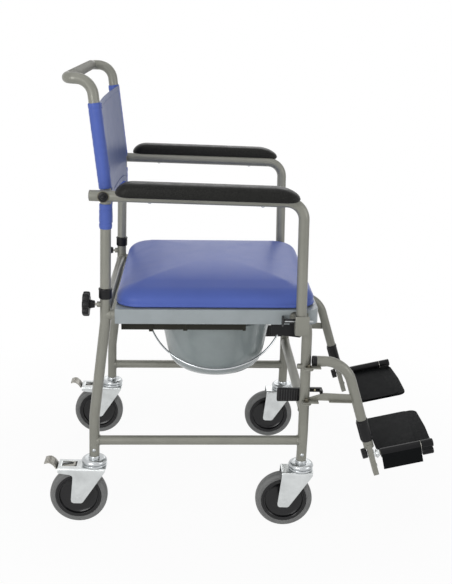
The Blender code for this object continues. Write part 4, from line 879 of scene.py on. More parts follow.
def fork_rows(braked):
    # Level by level across the sheet: over the top, round the bend and down each leg
    half = FORK_HALF - FORK_SHEET / 2
    top = FORK_TOP - FORK_SHEET / 2
    bend = 0.004
    foot = WHEEL_R - 0.011
    axle_x = -WHEEL_TRAIL
    rear_leg = mm((-9.5, 0), (-13.8, 2.5), (-15, 8), x=axle_x, z=foot)
    if braked:
        rear_leg += mm((-11.2, 112), (-12.5, 116), (-18, 119), x=axle_x)
        rear_leg += mm((-70, 121.2), (-76, 122.2), (-77, 124))
    else:
        rear_leg += mm((-42.5, 124))
    front_leg = mm((7, 0), (10.5, 2), x=axle_x, z=foot) + mm((23.8, -8), (25, -5), z=FORK_TOP)
    heights = (75, 90, 105, 112, 114, 116, 117.5, 119, 120.1, 121.2, 122.2, 123, 124, 126)
    levels = [foot + rise / 1000 for rise in (0, 0.8, 2.5, 5, 8)] + [z / 1000 for z in heights]
    stations = [(half, z) for z in levels + [top - bend]]
    for k in range(1, 6):
        a = pi / 2 * k / 5
        stations.append((half - bend + bend * cos(a), top - bend + bend * sin(a)))
    stations += [(y, top) for y in (0.0155, WINDOW_HALF, 0.009, 0.0045)]
    across = [(-y, z) for y, z in stations] + [(0.0, top)] + stations[::-1]
    rows = []
    for y, z in across:
        low = edge_x(rear_leg, z)
        high = edge_x(front_leg, z)
        if z > top - 1e-6:
            low = rear_leg[-1][0]
            high = 0.0268 - 0.003 * (max(abs(y) - 0.012, 0.0) / (half - 0.012)) ** 2
        if not braked:
            xs = [mix(low, high, c) for c in (0, 0.06, 0.12, 0.2, 0.3, 0.4, 0.48, 0.56, 0.64, 0.72, 0.8,
                                              0.88, 0.94, 1)]
        else:
            xs = [low, mix(low, WINDOW_REAR_X, 0.5), WINDOW_REAR_X, -0.06, -0.05, WINDOW_FRONT_X]
            if low > WINDOW_REAR_X:
                xs = [mix(low, high, c) for c in (0, 0.05, 0.1, 0.18, 0.28, 0.4)]
            xs += [mix(xs[-1], high, c) for c in (0.15, 0.3, 0.45, 0.6, 0.75, 0.88, 0.95, 1)]
        rows.append([(x, y, z) for x in xs])
    return rows, top


def casters():
    # Each caster is laid out from its stem's axis
    for end, x in (("rear", 0), ("front", STEM_SPACING)):
        for side in (RIGHT, LEFT):
            stem = CHAIR @ at(x, side * HALF, 0)
            head(end, side, stem)
            fork(end, side, stem)
            wheel(end, side, stem)
            if end == "rear":
                pedal(side, stem)


def head(end, side, stem):
    profile = mm((0, 30), (7, 30), (7.6, 29.4), (7.6, 0), (11.2, 0), (11.6, -0.6), (11.8, -4.4),
                 (12.8, -5.6), (18.5, -5.4), (21, -5), (23.2, -5.6), (25, -7), (26.4, -8.8), (27.2, -10.8),
                 (27.3, -12.6), (26.6, -14.2), (24.2, -15.2), (23.4, -16), z=POST_BOTTOM - GAP)
    profile += mm((24.2, 5), (25.8, 4.4), (26.4, 3), (26.2, 0.8), (25.4, 0), (0, 0), z=FORK_TOP + GAP)
    s = Shape(stem).lathe(profile, None, 56)
    piece(s, "head_" + end, [CHROME], "frame", "caster_head_" + end, side)


def fork(end, side, stem):
    braked = end == "rear"
    rows, top = fork_rows(braked)
    half = FORK_HALF - FORK_SHEET / 2

    def in_window(p, r):
        x, y, _ = (p + r) / 2
        return (braked and abs(y) < WINDOW_HALF and WINDOW_REAR_X < x < WINDOW_FRONT_X
                and min(p.z, r.z) > top - 1e-4)

    s = Shape(stem)
    s.add(bent_sheet(rows, FORK_SHEET, in_window, bevel=0.0004))
    # washer and nut of the kingpin under the plate
    under = FORK_TOP - FORK_SHEET
    s.use(1)
    s.rod((0, 0, under), (0, 0, under - 0.0023), 0.0088, 0.0004)
    s.lathe(mm((0, -2.3), (6.6, -2.3), (6.6, -4.7), (5.8, -5.3), (0, -5.3), z=under), None, 6)
    if braked:
        x, z = BRAKE_PIVOT
        s.rod((x, -half, z), (x, half, z), 0.0019, 0.0003, 16)
    piece(s, "fork_" + end, [ZINC, STEEL], "caster_" + end, "caster_fork_" + end, side)
    reach = FORK_HALF + 0.0002
    s = Shape(stem).rod((-WHEEL_TRAIL, -reach, WHEEL_R), (-WHEEL_TRAIL, reach, WHEEL_R), 0.004, 0.0008)
    piece(s, "axle_" + end, [ZINC], "caster_" + end, "caster_axle_" + end, side)


def wheel(end, side, stem):
    place = at(-WHEEL_TRAIL, 0, WHEEL_R) @ ALONG_Y
    hub = mm((4.4, 21.4), (7, 21.4), (8.2, 20.8), (8.8, 19.6), (9.2, 12), (10.4, 8.6), (13.5, 7), (18, 6.2),
             (31, 5.4), (37, 6), (40.2, 7.8), (41.4, 10.5), (42, 12.8), (43, 13.6), (44.2, 13.4), (45.2, 12),
             (48, 12), (49.7, 11.6))
    s = Shape(stem).lathe(mirrored(hub), place, 64, closed=True)
    piece(s, "hub_" + end, [GLOSS_BLACK], "wheel_" + end, "caster_hub_" + end, side, 28)
    tyre = mm((50, 11.6), (50.5, 12.4), (51.2, 12.9), (52.2, 13), (52.7, 12.6), (53.2, 13), (55, 13),
              (55.6, 12.6), (56.2, 12.9), (58.2, 12.4), (60, 11.2), (61.4, 9.2), (62.2, 6.4), (62.5, 3.5))
    tread = [(WHEEL_R, 0)] + mirrored(tyre)[len(tyre):]
    s = Shape(stem).lathe(tyre + tread, place, 80, closed=True)
    axle_x = stem.translation.x - WHEEL_TRAIL
    rubber = rubber_material(side_name("tyre_" + end, side), (0.205, 0.207, 0.205), axle_x, WHEEL_R)
    piece(s, "tyre_" + end, [rubber], "wheel_" + end, "caster_tyre_" + end, side, 28)


def pedal(side, stem):
    # A bent tongue, wider at its tread, with a pivot sleeve, the block over the tyre and five ridges
    x, z = BRAKE_PIVOT
    corners = [(x, z - 0.001, 0), (-0.054, 0.1275, 0), (-0.079, 0.127, 0), (-0.086, 0.137, 0),
               (-0.096, 0.144, 0), (-0.106, 0.1405, 0)]
    middle = [p.xy for p in fillet(corners, [0.01, 0.006, 0.012, 0.01], 8)]
    s = Shape(stem)
    s.plate(strip([p for p in middle if p.x > -0.087], 0.0025), 0.0224, XZ_PLANE, 0.0006)
    s.plate(strip([p for p in middle if p.x < -0.0795], 0.0025), 0.034, XZ_PLANE, 0.001, 3)
    s.rod((x, -0.0112, z), (x, 0.0112, z), 0.0034, 0.0004)
    s.box((-0.066, -0.01, 0.1246), (-0.056, 0.01, 0.1272), 0.0008)
    for y in (-0.012, -0.006, 0, 0.006, 0.012):
        s.box((-0.1, y - 0.001, 0.144), (-0.0905, y + 0.001, 0.1452), 0.0005)
    piece(s, "pedal", [PEDAL], "brake", "brake_pedal", side)


# Back

def upright_x(z):
    return POST_OFFSET if z <= BACK_LEAN_Z else POST_OFFSET - (z - BACK_LEAN_Z) * tan(BACK_LEAN)


def back():
    corners = [(POST_OFFSET, -HALF, BACK_STOP_Z), (POST_OFFSET, -HALF, BACK_LEAN_Z),
               (upright_x(HANDLE_Z), -HALF, HANDLE_Z), (HANDLE_X, -HALF, HANDLE_Z)]
    path = corners + [(x, -y, z) for x, y, z in corners[::-1]]
    s = Shape().tube(fillet(path, [0.1, 0.034, 0.0175, 0.0175, 0.034, 0.1], 14), TUBE_R, 36)
    for y in (-HALF, HALF):
        low, high = BACK_STOP_Z - SPIGOT_LENGTH, BACK_STOP_Z + 0.004
        s.rod((POST_OFFSET, y, low), (POST_OFFSET, y, high), 0.0092, 0.0008, 32)
    obj = piece(s, "painted_back_frame", [PAINT, SHADED_BAR_PAINT], "back", "back_frame")
    # painted shade: the push bar between its two bends takes a duller copy of the paint, which takes away the
    # bright reflection it catches from above
    for face in obj.data.polygons:
        if abs(face.center.y) < HALF - 0.02 and face.center.z > BACK_STOP_Z:
            face.material_index = 1


def sling_point(u, v, proud=0.0):
    # A point of the panel: u from -1 to 1 across it, v from 0 at its lower edge to 1 at its upper
    low = SLING_PANEL_BOTTOM_Z - 0.022 * abs(u) ** 6
    high = SLING_TOP_Z - 0.006 * (1 - u * u)
    z = mix(low, high, v)
    return upright_x(z) + TUBE_R + 0.0009 - SLING_SAG * (1 - u * u) + proud, u * (HALF - 0.002), z


def sling():
    s = Shape()
    for side in (RIGHT, LEFT):
        sleeve(s, side, SLING_BOTTOM_Z, SLING_CUT_LOW)
        sleeve(s, side, SLING_CUT_HIGH, SLING_TOP_Z)
    across = [2 * j / 88 - 1 for j in range(89)]
    rows = []
    for i in range(57):
        row = []
        for u in across:
            # short pulls near the sleeves, and a slow unevenness everywhere
            x, y, z = sling_point(u, i / 56)
            pull = exp(-(1 - abs(u)) * 14) * (0.4 + 0.6 * abs(noise.noise(Vector((u * 4, z * 20, 0)))))
            x += 0.0009 * pull * sin(z * 130 + (2.0 if u > 0 else 0.5))
            x += 0.0006 * noise.noise(Vector((u * 2.2, z * 7, 3)))
            row.append((x, y, z))
        rows.append(row)
    s.add(bent_sheet(rows, SLING_SHEET, lambda p, r: abs(p.y + r.y) / 2 > HALF - 0.025
                     and SLING_CUT_LOW < (p.z + r.z) / 2 < SLING_CUT_HIGH))
    # hems: a doubled strip along the top and bottom edges, and rows of stitches
    for hem in ((0.955, 0.9775, 1.0), (0.0, 0.0275, 0.055)):
        s.add(bent_sheet([[sling_point(u * 0.985, v, 0.0003) for u in across] for v in hem], 0.0036))
    s.use(1)
    for v in (0.95, 0.06):
        stitches(s, v)
    obj = piece(s, "sling_panel", [VINYL, THREAD, SHADED_PANEL_VINYL], "back", "back_sling", None, 40)
    # painted shade: the panel between the sleeves takes the darker, greyer copy of the vinyl; the sleeves and
    # their edges keep the plain blue vinyl
    for face in obj.data.polygons:
        if abs(face.center.y) < HALF - 0.015 and face.material_index == 0:
            face.material_index = 2


def sleeve(s, side, low, high):
    # A tunnel round one upright: drawn in at its ends and at its seams, and a little creased
    points = []
    radii = []
    for k in range(97):
        z = mix(low, high, k / 96)
        edge = min(z - low, high - z)
        r = SLING_TUNNEL_R - 0.0009 * exp(-edge / 0.0012) - 0.0006 * exp(-((edge - 0.0115) / 0.0011) ** 2)
        r += 0.0002 * noise.noise(Vector((side * 3, z * 60, 1))) + 0.00012 * sin(z * 420 + side)
        points.append((upright_x(z), side * HALF, z))
        radii.append(r)
    s.tube(points, radii, 36)


def stitches(s, v):
    # Short threads on both faces of the panel, each a little proud in its middle
    count = 104
    for k in range(count):
        for face in (1, -1):
            s.tube([sling_point((2 * (k + t) / count - 1) * 0.95, v, face * proud)
                    for t, proud in ((0.12, 0.0011), (0.5, 0.0013), (0.88, 0.0011))], 0.00032, 5)


def clamps():
    rear = CLAMP_KNOB_REAR_X
    for side in (RIGHT, LEFT):
        y = side * HALF
        s = Shape()
        knob(s, at(rear + 0.007, y, CLAMP_Z) @ ALONG_X, 0.026, 7, 0.0042, 0.014)
        s.rod((rear + 0.011, y, CLAMP_Z), (POST_OFFSET - TUBE_R - 0.0105, y, CLAMP_Z),
              0.01, 0.0008, 28, 0.0075)
        s.use(1)
        s.rod((rear + 0.011, y, CLAMP_Z), (POST_OFFSET - 0.0095, y, CLAMP_Z), 0.003, 0.0004, 20)
        s.dome(at(rear - 0.0001, y, CLAMP_Z) @ TO_REAR, 24, (0, 1.2), (5, 1), (5.6, 0), (5.6, -1))
        piece(s, "clamp_knob", [BLACK, STEEL], "clamp", "back_clamp_knob", side, 40)


def knob(shape, place, radius, lobes, depth, length):
    # A lobed grip with rounded faces, in rings from its rear face to its front
    outline = lobed(radius, lobes, depth, lobes * 16)
    shape.loops([[(x * k, y * k, h * length) for x, y in outline]
                 for k, h in ((0.74, -0.5), (0.88, -0.5), (0.955, -0.46), (0.99, -0.36), (1.0, -0.2),
                              (1.0, 0.2), (0.99, 0.36), (0.955, 0.46), (0.88, 0.5), (0.6, 0.5))], place)


# Armrests

def arm_leg_x(z):
    return ARM_LEG_X + (ARM_LEG_X_AT_Z - z) * ARM_LEG_SLOPE


def pinch(p, d):
    # The arm's tube is pressed a little flat where the pivot bolt goes through
    k = exp(-((p.x - ARM_PIVOT_X) / 0.01) ** 2) if p.z > ARM_Z - 0.001 else 0.0
    return Vector((d.x, d.y * (1 - 0.1 * k), d.z * (1 + 0.03 * k)))


def arms():
    for side in (RIGHT, LEFT):
        y = side * ARM_Y
        stations = (ARM_REAR_X, 0.002, 0.01, 0.016, ARM_PIVOT_X, 0.026, 0.032, 0.042, arm_leg_x(ARM_Z))
        points = [(x, y, ARM_Z) for x in stations] + [(arm_leg_x(ARM_LEG_BOTTOM), y, ARM_LEG_BOTTOM)]
        s = Shape().tube(fillet(points, [0] * 7 + [ARM_BEND], 14), TUBE_R, 36, pinch)
        x = arm_leg_x(LOCK_Z)
        slot = Shape().box((x - 0.02, y - 0.0033, ARM_LEG_BOTTOM - 0.01),
                           (x + 0.02, y + 0.0033, LOCK_Z + 0.0033), 0)
        piece(s, "painted_arm", [PAINT], "arm", "arm_tube", side, cuts=[slot])
        cap = Shape().dome(at(ARM_REAR_X, y, ARM_Z) @ TO_REAR, 32, (0, 1.6), (6, 1.4), (9.2, 0.8),
                           (10.6, 0.1), (10.6, -0.5))
        piece(cap, "arm_end_cap", [BLACK], "arm", None, side)
        arm_pad(side)
        screws = Shape()
        for t in (0.184, 0.803):
            below = at(mix(PAD_REAR_X, PAD_FRONT_X, t), y, ARM_Z - TUBE_R) @ Matrix.Rotation(pi, 4, "X")
            screws.dome(below, 20, (0, 1.8), (1.8, 1.6), (3.2, 0.9), (3.8, 0.1), (3.8, -1.2))
        piece(screws, "pad_screws", [CHROME], "arm", None, side)
        pivot_bolt(side)
        lock_pin(side)


def arm_pad(side):
    # A moulded pad: flat below, rounded sides and a slightly crowned top, as rings of (share of the half
    # width, share of the thickness). Its ends are drawn down in long round noses, longer at the front
    half_x = (PAD_FRONT_X - PAD_REAR_X) / 2
    middle = (PAD_FRONT_X + PAD_REAR_X) / 2
    rings = []
    for k, h in ((0.6, 0.0), (0.8, 0.0), (0.9, 0.008), (0.955, 0.045), (0.985, 0.12), (0.998, 0.25),
                 (1.0, 0.4), (0.992, 0.52), (0.972, 0.63), (0.938, 0.73), (0.885, 0.815), (0.815, 0.88),
                 (0.72, 0.93), (0.6, 0.965), (0.45, 0.985), (0.3, 0.995), (0.16, 1.0)):
        inset = (1 - k) * PAD_HALF
        nose = 1 - (1 - min(max(0.0, (h - 0.16) / 0.84), 0.9995) ** 2) ** 0.5
        chin = 0.01 * (1 - (1 - min(max(0.0, (0.28 - h) / 0.28), 0.9995) ** 2) ** 0.5)
        ring = []
        for a in turns(96):
            reach = half_x - max(inset * 0.15, nose * (0.046 if cos(a) > 0 else 0.032) + chin)
            x, y = capsule(a, reach, PAD_HALF - inset)
            fall = 0.1 * smooth((x / half_x - 0.62) / 0.38) ** 2 + 0.03 * smooth((-x / half_x - 0.75) / 0.25)
            ring.append((middle + x, side * PAD_Y + y, PAD_BOTTOM + h * PAD_THICKNESS * (1 - fall)))
        rings.append(ring)
    # the tube beds into a groove in its under side
    y = side * ARM_Y
    path = fillet([(PAD_REAR_X - 0.03, y, ARM_Z), (arm_leg_x(ARM_Z), y, ARM_Z), (arm_leg_x(0.66), y, 0.66)],
                  [ARM_BEND], 12)
    groove = Shape().tube(path, TUBE_R + 0.0004, 36)
    pad = Shape().loops(rings)
    obj = piece(pad, "moulded_arm_pad", [FOAM], "arm", "arm_pad", side, 60, [groove])


def capsule(a, half_x, half_y):
    # A point on a bar with round ends, as a superellipse with its middle stretched
    exponent = 2.6
    ca, sa = cos(a), sin(a)
    r = (abs(ca) ** exponent + abs(sa) ** exponent) ** (-1 / exponent) * half_y
    stretch = 0 if abs(ca) < 1e-9 else half_x - half_y
    return r * ca + (stretch if ca > 0 else -stretch), r * sa


def pivot_bolt(side):
    # Along the bolt from outside: cap, washer, shank, spacer between the two tubes, nut and thread end
    turn = at(ARM_PIVOT_X, 0, ARM_Z) @ outward(side)
    face = ARM_Y + TUBE_R + GAP
    nut = HALF - TUBE_R - GAP
    s = Shape()
    s.lathe(mm((0, 8.8), (1.8, 8.6), (3.6, 7.8), (5, 6.4), (5.6, 4.6), (5.8, 3.8), (9, 3.6), (9.9, 3),
               (10.2, 2), (10.2, 1.4), (0, 1.4), z=face), turn, 40)
    s.use(1)
    s.lathe(mm((4, 0), (11.2, 0), (11.6, 0.4), (11.6, 1.2), (11.2, 1.6), (4, 1.6), z=face), turn, 40,
            closed=True)
    s.lathe(mm((0, 1), (4, 1), z=face) + mm((4, -4), (0, -4), z=nut), turn, 20)
    s.use(0)
    s.lathe(mm((4, 0), (7.2, 0), (7.5, -0.4), z=ARM_Y - TUBE_R - GAP)
            + mm((7.5, 0.4), (7.2, 0), (4, 0), z=HALF + TUBE_R + GAP), turn, 32, closed=True)
    s.use(2)
    s.lathe(mm((4, 0), (8, 0), (8, -3.6), (7.4, -4.4), (4, -4.4), z=nut), turn, 6, closed=True)
    s.lathe(mm((0, -7.5), (3, -7), (5.2, -5.5), (5.6, -4), (0, -4), z=nut), turn, 24)
    piece(s, "pivot_bolt", [BLACK, DARK_STEEL, ZINC], "back", "arm_pivot_bolt", side)


def lock_pin(side):
    y = side * ARM_Y
    rear = LOCK_BARREL_X - GAP - 0.0042
    s = Shape()
    s.lathe(mm((0, 4.2), (10.2, 4.2), (11, 3.6), (11.2, 2.8), (11.2, 1.4), (10.9, 0.6), (10, 0), (5, 0),
               (4.2, -0.4), (0, -0.4)), at(rear, y, LOCK_Z) @ ALONG_X, 44)
    s.use(1).rod((rear + 0.003, y, LOCK_Z), (0.4515, y, LOCK_Z), 0.0021, 0.0007, 24)
    piece(s, "lock_plunger", [GLOSS_BLACK, CHROME], "arm_lock", "arm_lock_pin", side)


# Seat

def seat_plate():
    # A plate with a skirt on three sides, a round opening and an arch for each front post
    wall = 0.0022
    middle = PLATE_TOP - PLATE_SKIRT / 2
    bottom = PLATE_TOP - PLATE_SKIRT
    s = Shape(SEAT)
    s.plate(slab(PLATE_REAR_X, PLATE_FRONT_X, PLATE_HALF_WIDTH, 0.0015, PLATE_CORNER_R, 14), PLATE_SKIRT,
            at(0, 0, middle), 0.0052, 7)
    room = Shape(SEAT)
    inside = slab(PLATE_REAR_X - 0.05, PLATE_FRONT_X - wall, PLATE_HALF_WIDTH - wall,
                  0.001, PLATE_CORNER_R - wall, 14)
    room.plate(inside, PLATE_SKIRT, at(0, 0, PLATE_UNDER - PLATE_SKIRT / 2), 0)
    hole = Shape(SEAT).lathe(mm((0, 20), (115, 20), (115, -20), (0, -20)), at(PAN_X, 0, PLATE_TOP), 96)
    cuts = [room, hole]
    for side in (RIGHT, LEFT):
        arch = [(NOTCH_X - NOTCH_R * cos(a), PLATE_TOP - 0.0135 + NOTCH_R * sin(a))
                for a in (pi * k / 16 for k in range(17))]
        outline = [(NOTCH_X - NOTCH_R, bottom - 0.01)] + arch + [(NOTCH_X + NOTCH_R, bottom - 0.01)]
        cuts.append(Shape(SEAT).plate(outline, 0.012, at(0, side * PLATE_HALF_WIDTH, 0) @ XZ_PLANE, 0))
    piece(s, "moulded_seat_plate", [PLATE], "frame", "seat_plate", cuts=cuts)


def pan_rails():
    top = PLATE_UNDER - GAP
    bottom = top - RAIL_HEIGHT
    cross_x = front_cross_x()
    inner = PAN_FLANGE_R + 0.0015
    outer = inner + 0.003
    rear = 0.05
    end = PAN_X + 0.0615
    for side in (RIGHT, LEFT):
        line = fillet([(outer + 0.014, top - 0.0015, 0), (inner + 0.0015, top - 0.0015, 0),
                       (inner + 0.0015, bottom + 0.0015, 0), (outer - 0.022, bottom + 0.0015, 0)],
                      [0.004, 0.004], 6)
        outline = [(side * a, b) for a, b in strip([p.xy for p in line], 0.003)]
        s = Shape(SEAT).plate(outline, end - rear, at((rear + end) / 2, 0, 0) @ YZ_PLANE)
        # a tongue to the front cross tube
        s.box((end - 0.004, side * (inner + 0.002), top - 0.003),
              (cross_x - 0.013, side * (outer + 0.014), top), 0.0004)
        # cleats across the web, the rear one a little longer, and a flat one at the end
        for x, half, proud, low, bevel in ((0.1138, 0.0045, 0.0016, -0.0022, 0.0006),
                                           (0.1874, 0.0045, 0.0016, -0.0003, 0.0006),
                                           (end - 0.004, 0.0035, 0.0012, 0.0002, 0.0005)):
            s.box((x - half, side * (outer - 0.001), bottom + low),
                  (x + half, side * (outer + proud), bottom + 0.03), bevel)
        piece(s, "folded_pan_rail", [RAIL], "frame", "pan_rail", side)
    # only the right rail has a stop plate in front, cut out round the cross tube
    y = RIGHT * (inner + 0.0047)
    rear, front = STEM_SPACING - 0.0775, STEM_SPACING - 0.0125
    shape = rounded([(rear, top - 0.0004, 0.0005), (rear, bottom - 0.0055, 0.0015),
                     (front, bottom - 0.0135, 0.004), (front, top - 0.03, 0.004),
                     (cross_x + 0.015, top - 0.0004, 0.002)], 5)
    stop = Shape(SEAT).plate(shape, 0.009, at(0, y, 0) @ XZ_PLANE, 0.0008, 3)
    cut = Shape(SEAT).box((cross_x - 0.012, y - 0.02, top - 0.024),
                          (cross_x + 0.012, y + 0.02, top + 0.001), 0)
    piece(stop, "pan_stop", [BLACK], "frame", None, cuts=[cut])


def pan():
    top = LEDGE_TOP + GAP + 0.003
    under = top - 0.003
    floor = top - 0.1525
    wall = 0.0022
    outer = (mm((4, 0), (0, -4), x=PAN_RIM_R, z=under)
             + mm((131, -14), (126.2, -30), (122.2, -47), (119, -64), (116.2, -80), (113.1, -96),
                  (109.2, -111.5), (103.8, -122.8), (96, -131.8), (85, -139.5), (72, -144.7), (57, -147.8),
                  z=under)
             + mm((40, 0.4), (0, 0), z=floor))
    inner = [(0.0, floor + wall)] + [(r - wall * 0.9, z + wall * 0.7) for r, z in outer[1:-1][::-1]]
    lip = (mm((-2.2, -2), (-1, 3), (1.2, 5.2), (3.5, 5.6), (6, 3), (9, 0.3), (11, 0), x=PAN_RIM_R, z=top)
           + mm((-2, 0), (-0.4, -0.6), (0, -1.5), x=PAN_FLANGE_R, z=top)
           + mm((-0.4, 0.6), (-2, 0), x=PAN_FLANGE_R, z=under))
    s = Shape(SEAT).lathe(inner + lip + outer, at(PAN_X, 0, 0), 120)
    ear = rounded(mm((-6, 1, 0.3), (-6, -11.5, 4.5), (6, -11.5, 4.5), (6, 1, 0.3), z=under), 6)
    for sign in (-1, 1):
        s.plate(ear, 0.008, at(PAN_X + sign * (BAIL_R - 0.01), 0, 0) @ YZ_PLANE, 0.0006)
    piece(s, "glossy_pan", [PAN], "pan", "pan", None, 30)


def bail():
    # Half a ring of wire that hangs forward at rest, its two ends bent inwards through the ears
    steps = 72
    stub = BAIL_R - 0.016
    ring = []
    for k in range(steps + 1):
        a = pi * k / steps
        drop = BAIL_R * sin(a)
        ring.append((PAN_X - BAIL_R * cos(a), -sin(BAIL_REST) * drop, BAIL_Z - cos(BAIL_REST) * drop))
    points = [(PAN_X - stub, 0, BAIL_Z)] + ring + [(PAN_X + stub, 0, BAIL_Z)]
    s = Shape(SEAT).tube(fillet(points, [0.003] + [0.0] * (steps - 1) + [0.003], 6), 0.0022, 16)
    piece(s, "wire_bail", [WIRE], "bail", "pan_bail", None, 60)


def ring_points(half_x, half_y, corner, count):
    # Points at even distances round a rounded rectangle
    outline = slab(-half_x, half_x, half_y, corner, corner, 12)
    closed = outline + outline[:1]
    lengths = [0.0]
    for a, b in zip(closed, closed[1:]):
        lengths.append(lengths[-1] + (Vector(b) - Vector(a)).length)
    ring = []
    j = 0
    for k in range(count):
        target = lengths[-1] * k / count
        while lengths[j + 1] < target:
            j += 1
        span = lengths[j + 1] - lengths[j]
        t = (target - lengths[j]) / span if span > 0 else 0.0
        ring.append(Vector(closed[j]).lerp(Vector(closed[j + 1]), t))
    return ring


def cushion():
    # Welt, drawn-in side, soft shoulder and crown, as (inset, height) rings; the cover puckers near the welt
    bottom = PLATE_TOP + GAP
    half_x = (CUSHION_FRONT_X - CUSHION_REAR_X) / 2
    middle = (CUSHION_FRONT_X + CUSHION_REAR_X) / 2
    count = 320
    rings = []
    for inset, h in mm((12, 2.6), (4, 2.2), (1.2, 2.6), (0.1, 4.4), (0.4, 6.2), (1.6, 7.6), (2, 9),
                       (1.5, 11.2), (1.4, 14), (1.8, 16.8), (2.8, 19.6), (4.4, 22.2), (6.4, 25), (9.2, 27.8),
                       (12.6, 30.7), (17.2, 33.5), (23, 36.2), (31.4, 39), (42, 41.4), (54, 45.3),
                       (69, 48.8), (87, 51.9), (108, 54.5), (132, 56.5), (156, 57.7), (180, 58.3)):
        corner = max(0.05 - inset * 0.9, 0.006)
        soft = smooth(h / 0.012) * (1 - smooth((h - 0.016) / 0.016))
        ring = []
        for a, p in zip(turns(count), ring_points(half_x - inset, CUSHION_HALF - inset, corner, count)):
            pucker = 0.00045 * soft * noise.noise(Vector((cos(a) * 24, sin(a) * 24, h * 60)))
            lump = 0.0003 * smooth((h - 0.022) / 0.01) * noise.noise(Vector((p.x * 9, p.y * 9, 2.0)))
            d = p.normalized() * pucker
            ring.append((middle + p.x + d.x, p.y + d.y, bottom + h + lump))
        rings.append(ring)
    s = Shape(SEAT).loops(rings).use(1)
    rim = 0.006
    board = slab(CUSHION_REAR_X + rim, CUSHION_FRONT_X - rim, CUSHION_HALF - rim, 0.045, 0.045, 10)
    s.plate(board, 0.0024, at(0, 0, bottom + 0.0013))
    obj = piece(s, "seat_pad", [VINYL, BLACK], "cushion", "seat_cushion", None, 70)


# Legrests

def legrests():
    for side in (RIGHT, LEFT):
        hanger(side)
        footrest(side)
        footplate(side)
        latch(side)


def hanger(side):
    # The bent tube with its spigot, a ring round the pin of each lug, and the webs that tie the rings to it
    y = side * LEGREST_Y
    plate_y = side * LEGREST_PLATE_Y
    hinge_y = side * LEGREST_HINGE_Y
    slope = tan(STEM_TILT)
    down = Vector((sin(STEM_TILT), 0, -cos(STEM_TILT)))
    sleeve_top = Vector((SLEEVE_TOP_X, y, SLEEVE_TOP_Z))
    corner = (SLEEVE_TOP_X - (LEGREST_TOP_Z - SLEEVE_TOP_Z) * slope, y, LEGREST_TOP_Z)
    s = Shape()
    s.tube(fillet([(LEGREST_CAP_X, y, LEGREST_TOP_Z), corner, sleeve_top - down * GAP], [0.062], 18),
           LEGREST_R, 32)
    s.rod(sleeve_top - down * 0.006, sleeve_top + down * 0.042, 0.0095, 0.0005, 32)
    s.place = FRONT_POST
    ring = mm((4.6, 0), (4.6, 3)) + mm((-0.8, 3), (-0.4, 2.6), (-0.4, 0.4), (-0.8, 0), x=LUG_R)
    upper, lower = (lug + LUG_SHEET + GAP for lug in (UPPER_LUG_Z, LOWER_LUG_Z))
    for z in (upper, lower):
        s.lathe(ring, at(0, hinge_y, z), 40, closed=True)
        s.box((0.007, plate_y - side * 0.002, z + 0.0001),
              (0.026, hinge_y + side * 0.006, z + 0.0029), 0.0005)
    place = at(0, plate_y, 0) @ XZ_PLANE
    top = upper + 0.0015
    s.plate(rounded(mm((9.5, -0.8, 0.5), (30, -0.8, 6), (56, 1.2, 0.5), z=top)
                    + mm((56, 0, 0.5), (9.5, 0, 0.5), z=LEGREST_TOP_Z), 6), 0.003, place)
    low = lower + 0.0015
    tube_x = SLEEVE_TOP_X - STEM_SPACING - (low + 0.01 - SLEEVE_TOP_Z) * slope
    s.plate(rounded(mm((7, 0, 0.5), z=low) + mm((0, 0, 0.5), (0, 15, 0.5), x=tube_x, z=low)
                    + mm((38, 17, 10), (7, 6.5, 3), z=low), 6), 0.003, place)
    s.box((0.049, plate_y - side * 0.001, low - 0.001),
          (tube_x - 0.008, plate_y + side * 0.01, low + 0.0012), 0.0005)
    piece(s, "painted_hanger", [PAINT], "legrest", "legrest_tube", side)
    rim = mm((-5.5, 1.2), (-1.5, 0.8), (-0.3, 0.2), (0.3, -0.6), (0.3, -8.6), (0, -9), x=LEGREST_R)
    cap_place = at(LEGREST_CAP_X, y, LEGREST_TOP_Z) @ TO_REAR
    cap = Shape().lathe([(0, 0.0014)] + rim + [(0, -0.009)], cap_place, 40)
    piece(cap, "hanger_end_cap", [BLACK], "legrest", None, side)


